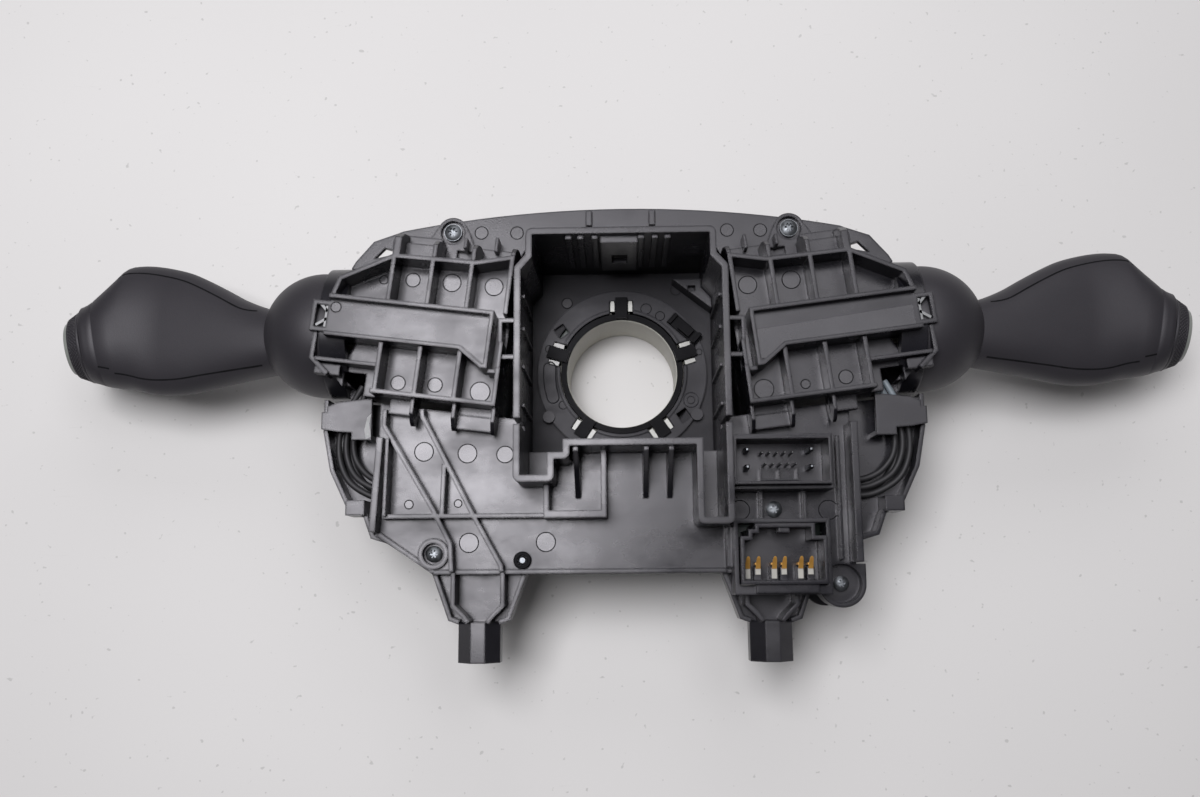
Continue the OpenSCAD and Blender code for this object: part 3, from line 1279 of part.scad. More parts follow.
// Covers that clamp the cables into the side of the housing
module cable_covers() color(grey)
    for (s = [-1, 1]) on_side(s) {
        translate([0, 0, plate_z - 1]) linear_extrude(2.2) polygon([[93.6, -14], [106.5, -15.4], [110.4, -17],
            [110.4, -19], [112.4, -19], [112.4, -25.4], [106.8, -26.4], [101, -26.8], [101, -29.6],
            [93.6, -29.6]]);
        block([93.6, -29.6, trough_z + 2], [95.2, -27.8, plate_z]);
    }

// Cables from each switch into the housing, each swept along round points chosen by hand
wire_r = 0.9;
wire_sides = 8;
wire_paths = [
    [[96, -9, 50], [99, -15, 50], [102, -21, 49.4], [104.4, -28, 48.6], [104, -36, 48], [100.4, -43, 47.4],
        [93, -47.4, 47], [86, -48.6, 47], [79.6, -48.6, 47]],
    [[98.4, -8.6, 50.6], [101.6, -14.4, 50.6], [104.6, -20.4, 50], [107, -28, 49], [106.6, -37, 48.2],
        [102.6, -45, 47.6], [94, -50.2, 47], [86, -51.4, 47], [79.6, -51.4, 47]],
    [[93.6, -9.4, 50.4], [96.4, -15.4, 50.4], [99.4, -22, 50], [101.6, -29, 49], [100.8, -36, 48.2],
        [97, -41.4, 47.6], [92, -44.4, 47], [86, -45.6, 47], [79.6, -45.6, 47]],
    [[94.6, -9.4, 47.6], [97.6, -15.4, 47], [100.6, -22, 46.4], [103, -30, 45.8], [102.2, -38, 45.4],
        [98, -45, 45.2], [92, -48.6, 45], [86, -50, 45], [79.6, -50, 45]]];

function wire_direction(path, i) =
    let (a = path[max(0, i - 1)], b = path[min(len(path) - 1, i + 1)]) (b - a) / norm(b - a);

module wire(path, r) loft([for (i = [0:len(path) - 1])
    let (d = wire_direction(path, i), side = cross([0, 0, 1], d) / norm(cross([0, 0, 1], d)),
        up = cross(d, side))
    [for (k = [0:wire_sides - 1]) let (a = -360 * k / wire_sides)
        path[i] + r * (cos(a) * side + sin(a) * up)]]);

module wires() for (p = wire_paths) wire(p, wire_r);

module left_wires() color(black) on_side(-1) wires();
module right_wires() color([0.55, 0.58, 0.62]) on_side(1) wires();

stator_housing();
rotor_hub();
wheel_sockets();
slip_sheet();
ribbon();
hub_snap_ring();
sensor_ring_gear();
sensor_gear_a();
sensor_gear_b();
sensor_board();
sensor_cover();
sensor_latch();
sensor_wedge();
sensor_rivets();
rear_housing();
front_shell();
control_board();
upper_header();
upper_header_pins();
lower_connector();
lower_connector_pins();
housing_screws();
switch_screws();
cassette_screws();
plate_stud();
left_switch_housing();
right_switch_housing();
left_switch_cover();
right_switch_cover();
switch_brackets();
detent_tracks();
contact_boards();
end_clips();
cable_covers();
left_wires();
right_wires();
pivot_pins();
left_gimbal();
right_gimbal();
left_cross_pin();
right_cross_pin();
left_lever_arm();
right_lever_arm();
left_dome();
right_dome();
left_stalk_body();
right_stalk_body();
left_stalk_panel();
right_stalk_panel();
left_knob();
right_knob();
left_end_button();
right_end_button();
left_plunger();
right_plunger();
left_plunger_spring();
right_plunger_spring();
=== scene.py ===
"""Looks of the steering column switch module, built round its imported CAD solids."""
import json
import math

import bmesh
import bpy
from mathutils import Matrix, Vector
from mathutils.bvhtree import BVHTree


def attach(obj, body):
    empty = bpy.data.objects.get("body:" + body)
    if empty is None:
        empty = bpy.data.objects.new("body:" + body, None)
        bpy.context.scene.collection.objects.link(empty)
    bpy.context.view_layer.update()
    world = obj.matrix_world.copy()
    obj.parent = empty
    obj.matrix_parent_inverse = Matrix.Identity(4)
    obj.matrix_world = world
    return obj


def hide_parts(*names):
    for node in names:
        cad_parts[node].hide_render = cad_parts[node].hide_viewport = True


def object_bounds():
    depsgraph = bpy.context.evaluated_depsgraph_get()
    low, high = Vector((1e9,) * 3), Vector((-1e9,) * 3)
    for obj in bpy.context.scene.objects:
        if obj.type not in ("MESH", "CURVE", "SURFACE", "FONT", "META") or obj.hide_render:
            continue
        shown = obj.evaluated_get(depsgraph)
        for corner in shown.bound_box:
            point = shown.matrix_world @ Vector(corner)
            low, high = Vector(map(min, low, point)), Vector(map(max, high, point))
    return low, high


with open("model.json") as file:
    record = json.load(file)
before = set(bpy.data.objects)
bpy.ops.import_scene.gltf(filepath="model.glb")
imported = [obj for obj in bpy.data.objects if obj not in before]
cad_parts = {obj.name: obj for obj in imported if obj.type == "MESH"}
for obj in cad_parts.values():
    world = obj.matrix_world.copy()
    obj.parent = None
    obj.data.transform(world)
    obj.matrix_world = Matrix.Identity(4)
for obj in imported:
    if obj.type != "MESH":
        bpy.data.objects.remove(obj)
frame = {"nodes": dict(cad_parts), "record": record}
cad_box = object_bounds()
nodes = frame["nodes"]
MM = 0.001

# Camera at the photograph's place, in millimetres and degrees
FOCAL_PX = 1060.0
IMAGE_W = 1200
SENSOR_MM = 36.0
CAMERA_AT = (-0.1, -82.2, 444.2)
TILT = 9.8
YAW = 1.19
ROLL = 0.63


def camera_axes():
    """Right, up and forward directions of the photograph's camera."""
    tilt, yaw, roll = (math.radians(a) for a in (TILT, YAW, ROLL))
    forward = Vector((0, math.sin(tilt), -math.cos(tilt)))
    up = Vector((0, math.cos(tilt), math.sin(tilt)))
    right = Vector((1, 0, 0))
    turned_forward = forward * math.cos(yaw) - right * math.sin(yaw)
    turned_right = right * math.cos(yaw) + forward * math.sin(yaw)
    rolled_right = turned_right * math.cos(roll) - up * math.sin(roll)
    rolled_up = up * math.cos(roll) + turned_right * math.sin(roll)
    return rolled_right, rolled_up, turned_forward


def add_camera():
    right, up, forward = camera_axes()
    data = bpy.data.cameras.new("camera")
    data.sensor_width = SENSOR_MM
    data.lens = FOCAL_PX / IMAGE_W * SENSOR_MM
    cam = bpy.data.objects.new("camera", data)
    bpy.context.scene.collection.objects.link(cam)
    turn = Matrix((right, up, -forward)).transposed().to_4x4()
    cam.matrix_world = Matrix.Translation(Vector(CAMERA_AT) * MM) @ turn
    bpy.context.scene.camera = cam


# Shader helpers

def rgba(value):
    """Opaque colour from three numbers, or from one as a grey."""
    if hasattr(value, "__len__"):
        return tuple(value) + (1.0,)
    return (value,) * 3 + (1.0,)


def scaled(color, factor, lift=0.0):
    return tuple(min(1.0, c * factor + lift) for c in color)


class Shade:
    """Small builder for one material's nodes."""

    SOCKETS = {"Color": "Base Color", "Spec": "Specular IOR Level", "Tint": "Specular Tint"}

    def __init__(self, name):
        self.mat = bpy.data.materials.new(name)
        self.mat.use_nodes = True
        self.tree = self.mat.node_tree
        self.tree.nodes.clear()
        self.out = self.tree.nodes.new("ShaderNodeOutputMaterial")
        self.coord = self.tree.nodes.new("ShaderNodeTexCoord")

    def node(self, kind, **inputs):
        n = self.tree.nodes.new(kind)
        for key, value in inputs.items():
            self.put(n, key.replace("_", " "), value)
        return n

    def put(self, n, key, value):
        if isinstance(value, bpy.types.NodeSocket):
            self.tree.links.new(value, n.inputs[key])
        else:
            n.inputs[key].default_value = value

    def noise(self, scale, detail, rough, stretch=None):
        src = self.coord.outputs["Object"]
        if stretch:
            src = self.node("ShaderNodeMapping", Vector=src, Scale=stretch).outputs["Vector"]
        n = self.node("ShaderNodeTexNoise", Vector=src, Scale=scale, Detail=detail, Roughness=rough)
        return n.outputs["Fac"]

    def ramp(self, fac, stops):
        n = self.node("ShaderNodeValToRGB", Fac=fac)
        els = n.color_ramp.elements
        while len(els) < len(stops):
            els.new(0.5)
        for el, (pos, value) in zip(els, stops):
            el.position = pos
            el.color = rgba(value)
        return n.outputs["Color"]

    def mix(self, a, b, fac, mode="MIX"):
        n = self.tree.nodes.new("ShaderNodeMix")
        n.data_type = "RGBA"
        n.blend_type = mode
        self.put(n, 0, fac)
        for sock, value in ((6, a), (7, b)):
            self.put(n, sock, value if isinstance(value, bpy.types.NodeSocket) else rgba(value))
        return n.outputs[2]

    def by_height(self, low, high):
        """Value that goes from low at the bottom of the well to high above its lower part, where the well's
        painted shade fades out.
        """
        split = self.tree.nodes.new("ShaderNodeSeparateXYZ")
        self.tree.links.new(self.coord.outputs["Object"], split.inputs[0])
        n = self.node("ShaderNodeMapRange", Value=split.outputs["Z"], From_Min=DEEP_Z * MM,
                      From_Max=LIT_Z * MM, To_Min=low, To_Max=high)
        return n.outputs["Result"]

    def bump(self, height, strength, distance):
        return self.node("ShaderNodeBump", Strength=strength, Distance=distance, Height=height)

    def principled(self, **inputs):
        n = self.tree.nodes.new("ShaderNodeBsdfPrincipled")
        for key, value in inputs.items():
            key = self.SOCKETS.get(key, key)
            self.put(n, key, rgba(value) if isinstance(value, tuple) else value)
        self.tree.links.new(n.outputs["BSDF"], self.out.inputs["Surface"])
        return self.mat


# Noise settings: scale, detail, roughness and stretch
FLOW = (28.0, 4.0, 0.6, (1.0, 2.2, 1.0))
SCUFF = (55.0, 6.0, 0.8, (1.0, 9.0, 1.0))
SMEAR = (34.0, 4.0, 0.6, (1.0, 1.6, 1.0))
SCRATCH_ALONG = (14.0, 6.0, 0.75, (1.0, 26.0, 1.0))
SCRATCH_ACROSS = (11.0, 6.0, 0.75, (24.0, 1.4, 1.0))

BEVEL_SAMPLES = 3
SHEEN = (0.965, 0.94, 1.0)
GRAIN_BUMP = 0.00012
# Painted shade at the bottom of the well: heights over which it fades, and the roughness, tone and gloss
# there
DEEP_Z = 29.5
LIT_Z = 44.0
DEEP_ROUGH = 0.62
DEEP_SHADE_TONE = 0.5
DEEP_GLOSS = 0.4


def plastic(name, dark, light, rough, grain, grain_depth, wear_and_highlight=0.25, edge=0.35, gloss=0.5, deep_shade=0.0):
    """Moulded plastic: fine grain, flow marks, dust, scuffs, rounded edges made lighter partly by rubbing
    and partly by a painted highlight, and, when asked for, painted shade at the bottom of the well.
    """
    s = Shade(name)
    color = s.ramp(s.noise(*FLOW), ((0.3, dark), (0.75, light)))
    fine = s.noise(grain, 2.0, 0.6)
    color = s.mix(color, scaled(light, 1.5, 0.01), s.ramp(fine, ((0.55, 0.0), (0.85, 0.35))))
    color = s.mix(color, scaled(light, 2.2, 0.02), s.ramp(s.noise(*SCUFF), ((0.6, 0.0), (0.72, wear_and_highlight))))
    round_edge = s.node("ShaderNodeBevel", Radius=edge * MM)
    round_edge.samples = BEVEL_SAMPLES
    geo = s.tree.nodes.new("ShaderNodeNewGeometry")
    same = s.tree.nodes.new("ShaderNodeVectorMath")
    same.operation = "DOT_PRODUCT"
    s.tree.links.new(round_edge.outputs["Normal"], same.inputs[0])
    s.tree.links.new(geo.outputs["Normal"], same.inputs[1])
    # Edges lighter in colour: partly rubbed wear, partly a painted edge highlight
    edge_wear_and_highlight = s.ramp(same.outputs["Value"], ((0.84, wear_and_highlight), (0.985, 0.0)))
    color = s.mix(color, scaled(light, 3.4, 0.04), edge_wear_and_highlight)
    roughness = s.ramp(s.noise(*SMEAR), ((0.3, rough[0]), (0.72, rough[1])))
    # Painted shade: the colour darkens towards the bottom of the well, where its walls shade it; roughness
    # and gloss change there too
    if deep_shade:
        deep_shade_mask = s.by_height(deep_shade, 0.0)
        roughness = s.mix(roughness, DEEP_ROUGH, deep_shade_mask)
        color = s.mix(color, scaled(dark, DEEP_SHADE_TONE), deep_shade_mask)
        gloss = s.by_height(DEEP_GLOSS * gloss, gloss)
    bump = s.bump(fine, grain_depth * 0.25, GRAIN_BUMP)
    s.tree.links.new(round_edge.outputs["Normal"], bump.inputs["Normal"])
    return s.principled(Color=color, Roughness=roughness, Normal=bump.outputs["Normal"], Spec=gloss,
                        Tint=SHEEN)


def metal(name, color, rough, grain=900.0, metallic=1.0):
    """Metal with faint blotches and a fine grain."""
    s = Shade(name)
    tone = s.ramp(s.noise(60.0, 3.0, 0.6), ((0.3, scaled(color, 0.75)), (0.7, color)))
    fine = s.noise(grain, 2.0, 0.5)
    roughness = s.ramp(fine, ((0.3, rough * 0.8), (0.7, min(1.0, rough * 1.4))))
    normal = s.bump(fine, 0.15, 0.00005).outputs["Normal"]
    return s.principled(Color=tone, Roughness=roughness, Metallic=metallic, Normal=normal)


def dark_line(name, color):
    """Bottom of a narrow groove that hardly any light reaches, with a little dust."""
    s = Shade(name)
    tone = s.ramp(s.noise(300.0, 3.0, 0.6), ((0.4, color), (0.85, scaled(color, 2.2))))
    return s.principled(Color=tone, Roughness=0.8, Spec=0.1)


# Looks of the slots that the record names
MATS = {
    "housing_plastic": plastic(
        "housing_plastic", (0.007, 0.0068, 0.0092), (0.0135, 0.013, 0.0172), rough=(0.17, 0.42),
        grain=1800.0, grain_depth=0.25, wear_and_highlight=0.16, edge=0.9, gloss=0.52, deep_shade=0.5),
    "shell_plastic": plastic(
        "shell_plastic", (0.01, 0.0098, 0.0125), (0.018, 0.0175, 0.022), rough=(0.22, 0.46),
        grain=1400.0, grain_depth=0.4, wear_and_highlight=0.14, edge=0.8, gloss=0.55, deep_shade=0.2),
    "stalk_plastic": plastic(
        "stalk_plastic", (0.021, 0.0195, 0.024), (0.025, 0.023, 0.028), rough=(0.46, 0.56),
        grain=2400.0, grain_depth=1.2, wear_and_highlight=0.0, edge=0.3),
    "button_plastic": plastic(
        "button_plastic", (0.2, 0.21, 0.2), (0.26, 0.27, 0.26), rough=(0.3, 0.4),
        grain=2000.0, grain_depth=0.3, wear_and_highlight=0.1),
    "hub_plastic": plastic(
        "hub_plastic", (0.42, 0.41, 0.36), (0.52, 0.51, 0.46), rough=(0.4, 0.5),
        grain=1500.0, grain_depth=0.3, wear_and_highlight=0.0),
    "gear_plastic": plastic(
        "gear_plastic", (0.5, 0.52, 0.5), (0.6, 0.62, 0.6), rough=(0.35, 0.45),
        grain=1500.0, grain_depth=0.3, wear_and_highlight=0.0),
    "ribbon_copper": metal("ribbon_copper", (0.6, 0.32, 0.14), rough=0.4),
    "circuit_board": plastic(
        "circuit_board", (0.006, 0.024, 0.013), (0.009, 0.036, 0.02), rough=(0.35, 0.45),
        grain=1200.0, grain_depth=0.3, wear_and_highlight=0.0),
    "steel": metal("steel", (0.2, 0.21, 0.23), rough=0.38),
    "terminal_metal": metal("terminal_metal", (0.95, 0.5, 0.12), rough=0.35, metallic=0.55),
    "wire_black": plastic(
        "wire_black", (0.012, 0.012, 0.013), (0.02, 0.02, 0.022), rough=(0.5, 0.62),
        grain=900.0, grain_depth=0.2, wear_and_highlight=0.0, edge=0.1),
    "wire_grey": plastic(
        "wire_grey", (0.16, 0.19, 0.22), (0.22, 0.25, 0.28), rough=(0.35, 0.45),
        grain=900.0, grain_depth=0.2, wear_and_highlight=0.0),
}

# Looks of small parts
# Painted shade of narrow grooves and seams
SEAM_SHADE = dark_line("seam_shade", (0.006, 0.006, 0.007))
MARK_FACE = plastic(
    "mark_face", (0.009, 0.0088, 0.0115), (0.017, 0.0165, 0.021), rough=(0.19, 0.3),
    grain=1800.0, grain_depth=0.3, wear_and_highlight=0.15, edge=0.2, gloss=0.58, deep_shade=0.3)
RING_BLACK = plastic(
    "ring_black", (0.003, 0.003, 0.004), (0.005, 0.005, 0.006), rough=(0.4, 0.55),
    grain=1500.0, grain_depth=0.4, wear_and_highlight=0.1, edge=0.3, gloss=0.06)
CHEEK_GREY = plastic(
    "rivet_grey", (0.16, 0.165, 0.17), (0.22, 0.225, 0.23), rough=(0.3, 0.4),
    grain=1500.0, grain_depth=0.3, wear_and_highlight=0.1, edge=0.3)
SPRING_PALE = plastic(
    "chip_pale", (0.3, 0.3, 0.28), (0.55, 0.55, 0.52), rough=(0.25, 0.35),
    grain=1500.0, grain_depth=0.2, wear_and_highlight=0.0, edge=0.2)
RUBBED = plastic(
    "rubbed", (0.22, 0.225, 0.23), (0.5, 0.5, 0.51), rough=(0.45, 0.6),
    grain=500.0, grain_depth=1.0, wear_and_highlight=0.6, edge=0.1)
STRUT_GREY = plastic(
    "strut_grey", (0.14, 0.145, 0.15), (0.24, 0.245, 0.25), rough=(0.3, 0.4),
    grain=900.0, grain_depth=0.3, wear_and_highlight=0.2, edge=0.2, gloss=0.8)
SEAT_PALE = plastic(
    "seat_pale", (0.3, 0.29, 0.27), (0.42, 0.41, 0.38), rough=(0.3, 0.4),
    grain=900.0, grain_depth=0.3, wear_and_highlight=0.1, edge=0.2)
PIN_DARK = metal("pin_dark", (0.16, 0.16, 0.17), rough=0.35)


def dress_nodes():
    """Every CAD node takes the procedural material of its slot."""
    slots = {p["node"]: p["material_slot"] for p in frame["record"]["subparts"]}
    for name, obj in nodes.items():
        obj.data.materials.clear()
        obj.data.materials.append(MATS[slots[name]])


TABLE_HALF_W = 2.6
TABLE_DARK = (0.675, 0.66, 0.668)
TABLE_LIGHT = (0.72, 0.705, 0.713)
SCRATCH_TONE = (0.5, 0.49, 0.495)
SPECK_TONE = (0.45, 0.44, 0.44)


def table_look():
    """White lacquer with fine scratches and specks of dust."""
    s = Shade("table_top")
    base = s.ramp(s.noise(3.0, 2.0, 0.5), ((0.3, TABLE_DARK), (0.7, TABLE_LIGHT)))
    along = s.noise(*SCRATCH_ALONG)
    marks = s.mix(s.ramp(along, ((0.66, 0.0), (0.74, 0.35))),
                  s.ramp(s.noise(*SCRATCH_ACROSS), ((0.68, 0.0), (0.76, 0.3))), 0.5, "ADD")
    color = s.mix(base, SCRATCH_TONE, marks)
    specks = s.ramp(s.noise(420.0, 1.0, 0.4), ((0.74, 0.0), (0.79, 0.6)))
    color = s.mix(color, SPECK_TONE, specks)
    normal = s.bump(along, 0.05, 0.0001).outputs["Normal"]
    return s.principled(Color=color, Roughness=0.55, Normal=normal, Spec=0.25)


def add_floor():
    look = table_look()
    bm = bmesh.new()
    for x, y in ((-1, -1), (1, -1), (1, 1), (-1, 1)):
        bm.verts.new((TABLE_HALF_W * x, TABLE_HALF_W * y, cad_box[0][2]))
    bm.faces.new(bm.verts)
    mesh = bpy.data.meshes.new("table")
    bm.to_mesh(mesh)
    floor = bpy.data.objects.new("table", mesh)
    bpy.context.scene.collection.objects.link(floor)
    floor.data.materials.append(look)


# Lamps: name, place, target and size in metres, power in watts
LAMPS = (("key", (-0.19, 0.11, 1.0), (-0.05, 0.05, 0), (0.46, 0.4), 8.4),
         ("fill", (0.29, 0.29, 1.0), (0.06, 0.05, 0), (0.5, 0.32), 1.5),
         ("back", (0.15, 0.95, 0.8), (0, 0, 0), (0.9, 0.5), 2.6))
SKY_COLOR = (1.0, 0.985, 0.985)
SKY_STRENGTH = 0.1


def add_lamp(name, at, target, size, power):
    data = bpy.data.lights.new(name, "AREA")
    data.shape = "RECTANGLE"
    data.size, data.size_y = size
    data.energy = power
    lamp = bpy.data.objects.new(name, data)
    bpy.context.scene.collection.objects.link(lamp)
    at, target = Vector(at), Vector(target)
    turn = (target - at).to_track_quat("-Z", "Y").to_matrix().to_4x4()
    lamp.matrix_world = Matrix.Translation(at) @ turn


def add_light():
    world = bpy.data.worlds.new("studio")
    world.use_nodes = True
    background = world.node_tree.nodes["Background"]
    background.inputs["Color"].default_value = rgba(SKY_COLOR)
    background.inputs["Strength"].default_value = SKY_STRENGTH
    bpy.context.scene.world = world
    for lamp in LAMPS:
        add_lamp(*lamp)


# Mesh helpers

SHARP_ANGLE = 35.0
SQUARE = ((-1, -1), (1, -1), (1, 1), (-1, 1))


def smooth(t):
    t = min(1.0, max(0.0, t))
    return t * t * (3.0 - 2.0 * t)


def blend_of(a, b, t):
    return a + (b - a) * t


def curve_at(points, s):
    """Smooth curve through a short list of points, read at s."""
    last = len(points) - 1
    i = 0
    while i < last - 1 and s > points[i + 1][0]:
        i += 1
    (x0, y0), (x1, y1) = points[i], points[i + 1]
    t = min(1.0, max(0.0, (s - x0) / (x1 - x0)))
    flat = (y1 - y0) / (x1 - x0)
    before = flat if i == 0 else (y1 - points[i - 1][1]) / (x1 - points[i - 1][0])
    after = flat if i == last - 1 else (points[i + 2][1] - y0) / (points[i + 2][0] - x0)
    w = x1 - x0
    return ((2 * t**3 - 3 * t**2 + 1) * y0 + (t**3 - 2 * t**2 + t) * w * before
            + (3 * t**2 - 2 * t**3) * y1 + (t**3 - t**2) * w * after)


def new_piece(name, bm, body, *mats, slot=None, replaces=()):
    """Mesh in millimetres to a piece of the object, in metres, that rides on a body."""
    bmesh.ops.scale(bm, vec=(MM, MM, MM), verts=bm.verts)
    bmesh.ops.recalc_face_normals(bm, faces=bm.faces)
    mesh = bpy.data.meshes.new(name)
    bm.to_mesh(mesh)
    bm.free()
    for poly in mesh.polygons:
        poly.use_smooth = True
    mesh.set_sharp_from_angle(angle=math.radians(SHARP_ANGLE))
    obj = bpy.data.objects.new(name, mesh)
    bpy.context.scene.collection.objects.link(obj)
    for m in mats:
        mesh.materials.append(m)
    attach(obj, body)
    if replaces:
        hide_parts(*replaces)


def add_rings(bm, rings, capped=True, index=0):
    """Skin over a list of closed rings with the same number of points."""
    rows = [[bm.verts.new(p) for p in ring] for ring in rings]
    n = len(rows[0])
    for a, b in zip(rows, rows[1:]):
        for k in range(n):
            bm.faces.new((a[k], b[k], b[(k + 1) % n], a[(k + 1) % n])).material_index = index
    if capped:
        for row in (rows[0], rows[-1]):
            bm.faces.new([bm.verts.new(v.co) for v in row]).material_index = index


def add_lathe(bm, place, profile, segments, shape=None):
    """Profile of (radius, height) pairs turned round the first axis of a place."""
    rings = []
    for r, h in profile:
        ring = []
        for k in range(segments):
            a = 2 * math.pi * k / segments
            rr = shape(r, h, a) if shape else r
            ring.append(place @ Vector((h, rr * math.cos(a), rr * math.sin(a))))
        rings.append(ring)
    add_rings(bm, rings, capped=False)


def add_box(bm, low, high):
    corners = [(x, y, z) for z in (low[2], high[2]) for x, y in
               ((low[0], low[1]), (high[0], low[1]), (high[0], high[1]), (low[0], high[1]))]
    v = [bm.verts.new(c) for c in corners]
    for f in ((3, 2, 1, 0), (4, 5, 6, 7), (0, 1, 5, 4), (1, 2, 6, 5), (2, 3, 7, 6), (3, 0, 4, 7)):
        bm.faces.new([v[i] for i in f])


def add_prism(bm, outline, low, high, place=Matrix.Identity(4)):
    """Outline of (x, y) pairs raised from one height to another."""
    add_rings(bm, [[place @ Vector((x, y, z)) for x, y in outline] for z in (low, high)])


def add_tube(bm, points, radius, sides, index=0):
    """Round tube along points, turned as little as possible from one to the next."""
    pts = [Vector(p) for p in points]
    last = len(pts) - 1
    angles = [2 * math.pi * k / sides for k in range(sides)]
    side = None
    rings = []
    for i, p in enumerate(pts):
        d = (pts[min(last, i + 1)] - pts[max(0, i - 1)]).normalized()
        if side is None:
            side = d.cross(Vector((0.3, 0.2, 1.0))).normalized()
        side = (side - d * side.dot(d)).normalized()
        up = d.cross(side)
        rings.append([p + radius * (math.cos(a) * side + math.sin(a) * up) for a in angles])
    add_rings(bm, rings, index=index)


def spline(points, steps):
    """Points of a smooth curve through a few given ones."""
    pts = [Vector(p) for p in points]
    last = len(pts) - 1
    out = []
    for i in range(last):
        p0, p1, p2, p3 = pts[max(0, i - 1)], pts[i], pts[i + 1], pts[min(last, i + 2)]
        for k in range(steps):
            t = k / steps
            out.append(0.5 * (2 * p1 + (p2 - p0) * t + (2 * p0 - 5 * p1 + 4 * p2 - p3) * t * t
                              + (3 * p1 - p0 - 3 * p2 + p3) * t**3))
    out.append(pts[-1])
    return out


# Stalks, in the frame of each stalk: first axis along it from its pivot

PIVOT = (115.0, 13.3, 41.0)
STALK_DIP = 6.0
DOME_R = 24.3
DOME_SKIRT = 8.2
DOME_WALL = 1.8
DOME_TIP_R = 0.05
DOME_STEPS = 40
DOME_SEGMENTS = 128
KNOB_AT = 99.6
KNOB_DROP = 0.6
KNOB_R = 14.8
KNOB_GAP = 0.3
KNOB_TURN = 11.0
KNOB_TILT = 15.0
ROOT_HALF_T = 11.8
PADDLE_HALF_T = 11.5
COLLAR_HALF_T = KNOB_R + 0.2
TOP_EDGE = ((14, 9.4), (23, 11.4), (33, 15.3), (42, 20.2), (50, 24.4), (57, 27.6), (65, 29.9),
            (72, 31.2), (78, 31.5), (82.6, 30.7), (86, 27.2), (93.4, 19.4), (97.2, 16.3), (102, 14.6),
            (110, 13.4))
BOTTOM_EDGE = ((14, -13), (22, -14.8), (32, -16.5), (47, -19.5), (57, -21.3), (66, -21.5),
               (72, -20.9), (79, -19.2), (89, -17.8), (97, -15.6), (110, -14))
SECTION_POWER = 0.88
SECTION_POINTS = 72
STALK_STATIONS = [14 + 1.5 * k for k in range(50)]
COLLAR_LEN = 5.6
COLLAR_GROOVE = ((-0.5, 0.0), (-0.2, 0.14), (0.2, 0.14), (0.5, 0.0))
LEAN_FROM = 66
SEAM_Y = math.tan(math.radians(KNOB_TURN))
SEAM_Z = math.tan(math.radians(KNOB_TILT)) / math.cos(math.radians(KNOB_TURN))
SEAM_LIFT = 0.05
SEAM_INSET = 4.8


def side_place(side):
    """Stalk frame to the module's frame; the left side mirrors the right one."""
    c, s = math.cos(math.radians(STALK_DIP)), math.sin(math.radians(STALK_DIP))
    turn = Matrix(((c, 0, s, PIVOT[0]), (0, 1, 0, PIVOT[1]), (-s, 0, c, PIVOT[2]), (0, 0, 0, 1)))
    return Matrix.Diagonal((side, 1, 1, 1)) @ turn


def knob_place(side):
    """Frame of the knob: first axis outwards along it, from its seam."""
    turn = (Matrix.Rotation(math.radians(-KNOB_TURN), 4, "Z")
            @ Matrix.Rotation(math.radians(-KNOB_TILT), 4, "Y"))
    return side_place(side) @ Matrix.Translation((KNOB_AT, -KNOB_DROP, 0)) @ turn


def stalk_half_t(s):
    """Half the stalk's thickness at a distance along it."""
    if s < 60:
        return blend_of(ROOT_HALF_T, PADDLE_HALF_T, smooth((s - 20) / 40))
    return blend_of(PADDLE_HALF_T, COLLAR_HALF_T, smooth((s - 64) / (KNOB_AT - 70)))


def full(v):
    """Sine or cosine bent so that the section is a little squarer than an ellipse."""
    return math.copysign(abs(v) ** SECTION_POWER, v)


def stalk_point(s, a, shrink=0.0):
    top, bottom = curve_at(TOP_EDGE, s) - shrink, curve_at(BOTTOM_EDGE, s) + shrink
    y = (top + bottom) / 2 + (top - bottom) / 2 * full(math.cos(a))
    return y, (stalk_half_t(s) - shrink) * full(math.sin(a))


def seam_shift(y, z):
    """How far the knob's seam plane stands out at a point of the section."""
    return SEAM_Y * (y + KNOB_DROP) - SEAM_Z * z


def stalk_ring(s, shrink=0.0, lean=None):
    """Section of the stalk, which leans into the knob's seam plane towards the end."""
    if lean is None:
        lean = smooth((s - LEAN_FROM) / (KNOB_AT - COLLAR_LEN - LEAN_FROM))
    ring = []
    for k in range(SECTION_POINTS):
        a = 2 * math.pi * k / SECTION_POINTS
        x = s
        for _ in range(4):
            y, z = stalk_point(x, a, shrink)
            x = s + lean * seam_shift(y, z)
        ring.append(Vector((x, y, z)))
    return ring


def rear_point(s, y):
    """Point just over the stalk's rear face, at a distance and a height."""
    top, bottom = curve_at(TOP_EDGE, s), curve_at(BOTTOM_EDGE, s)
    c = (y - (top + bottom) / 2) / ((top - bottom) / 2)
    c = max(-1.0, min(1.0, math.copysign(abs(c) ** (1 / SECTION_POWER), c)))
    z = stalk_half_t(s) * math.sqrt(max(0.0, 1 - c * c)) ** SECTION_POWER
    return Vector((s, y, z + SEAM_LIFT))


def add_seam(bm, place, line, width):
    """Seam as a dark strip of painted groove shade that lies on the rear face along a list of (distance,
    height) pairs.
    """
    for (s, y), (s2, y2) in zip(line, line[1:]):
        run = Vector((s2 - s, y2 - y)).normalized()
        off = Vector((-run.y, run.x)) * width / 2
        quad = (rear_point(s + off.x, y + off.y), rear_point(s2 + off.x, y2 + off.y),
                rear_point(s2 - off.x, y2 - off.y), rear_point(s - off.x, y - off.y))
        bm.faces.new([bm.verts.new(place @ q) for q in quad])


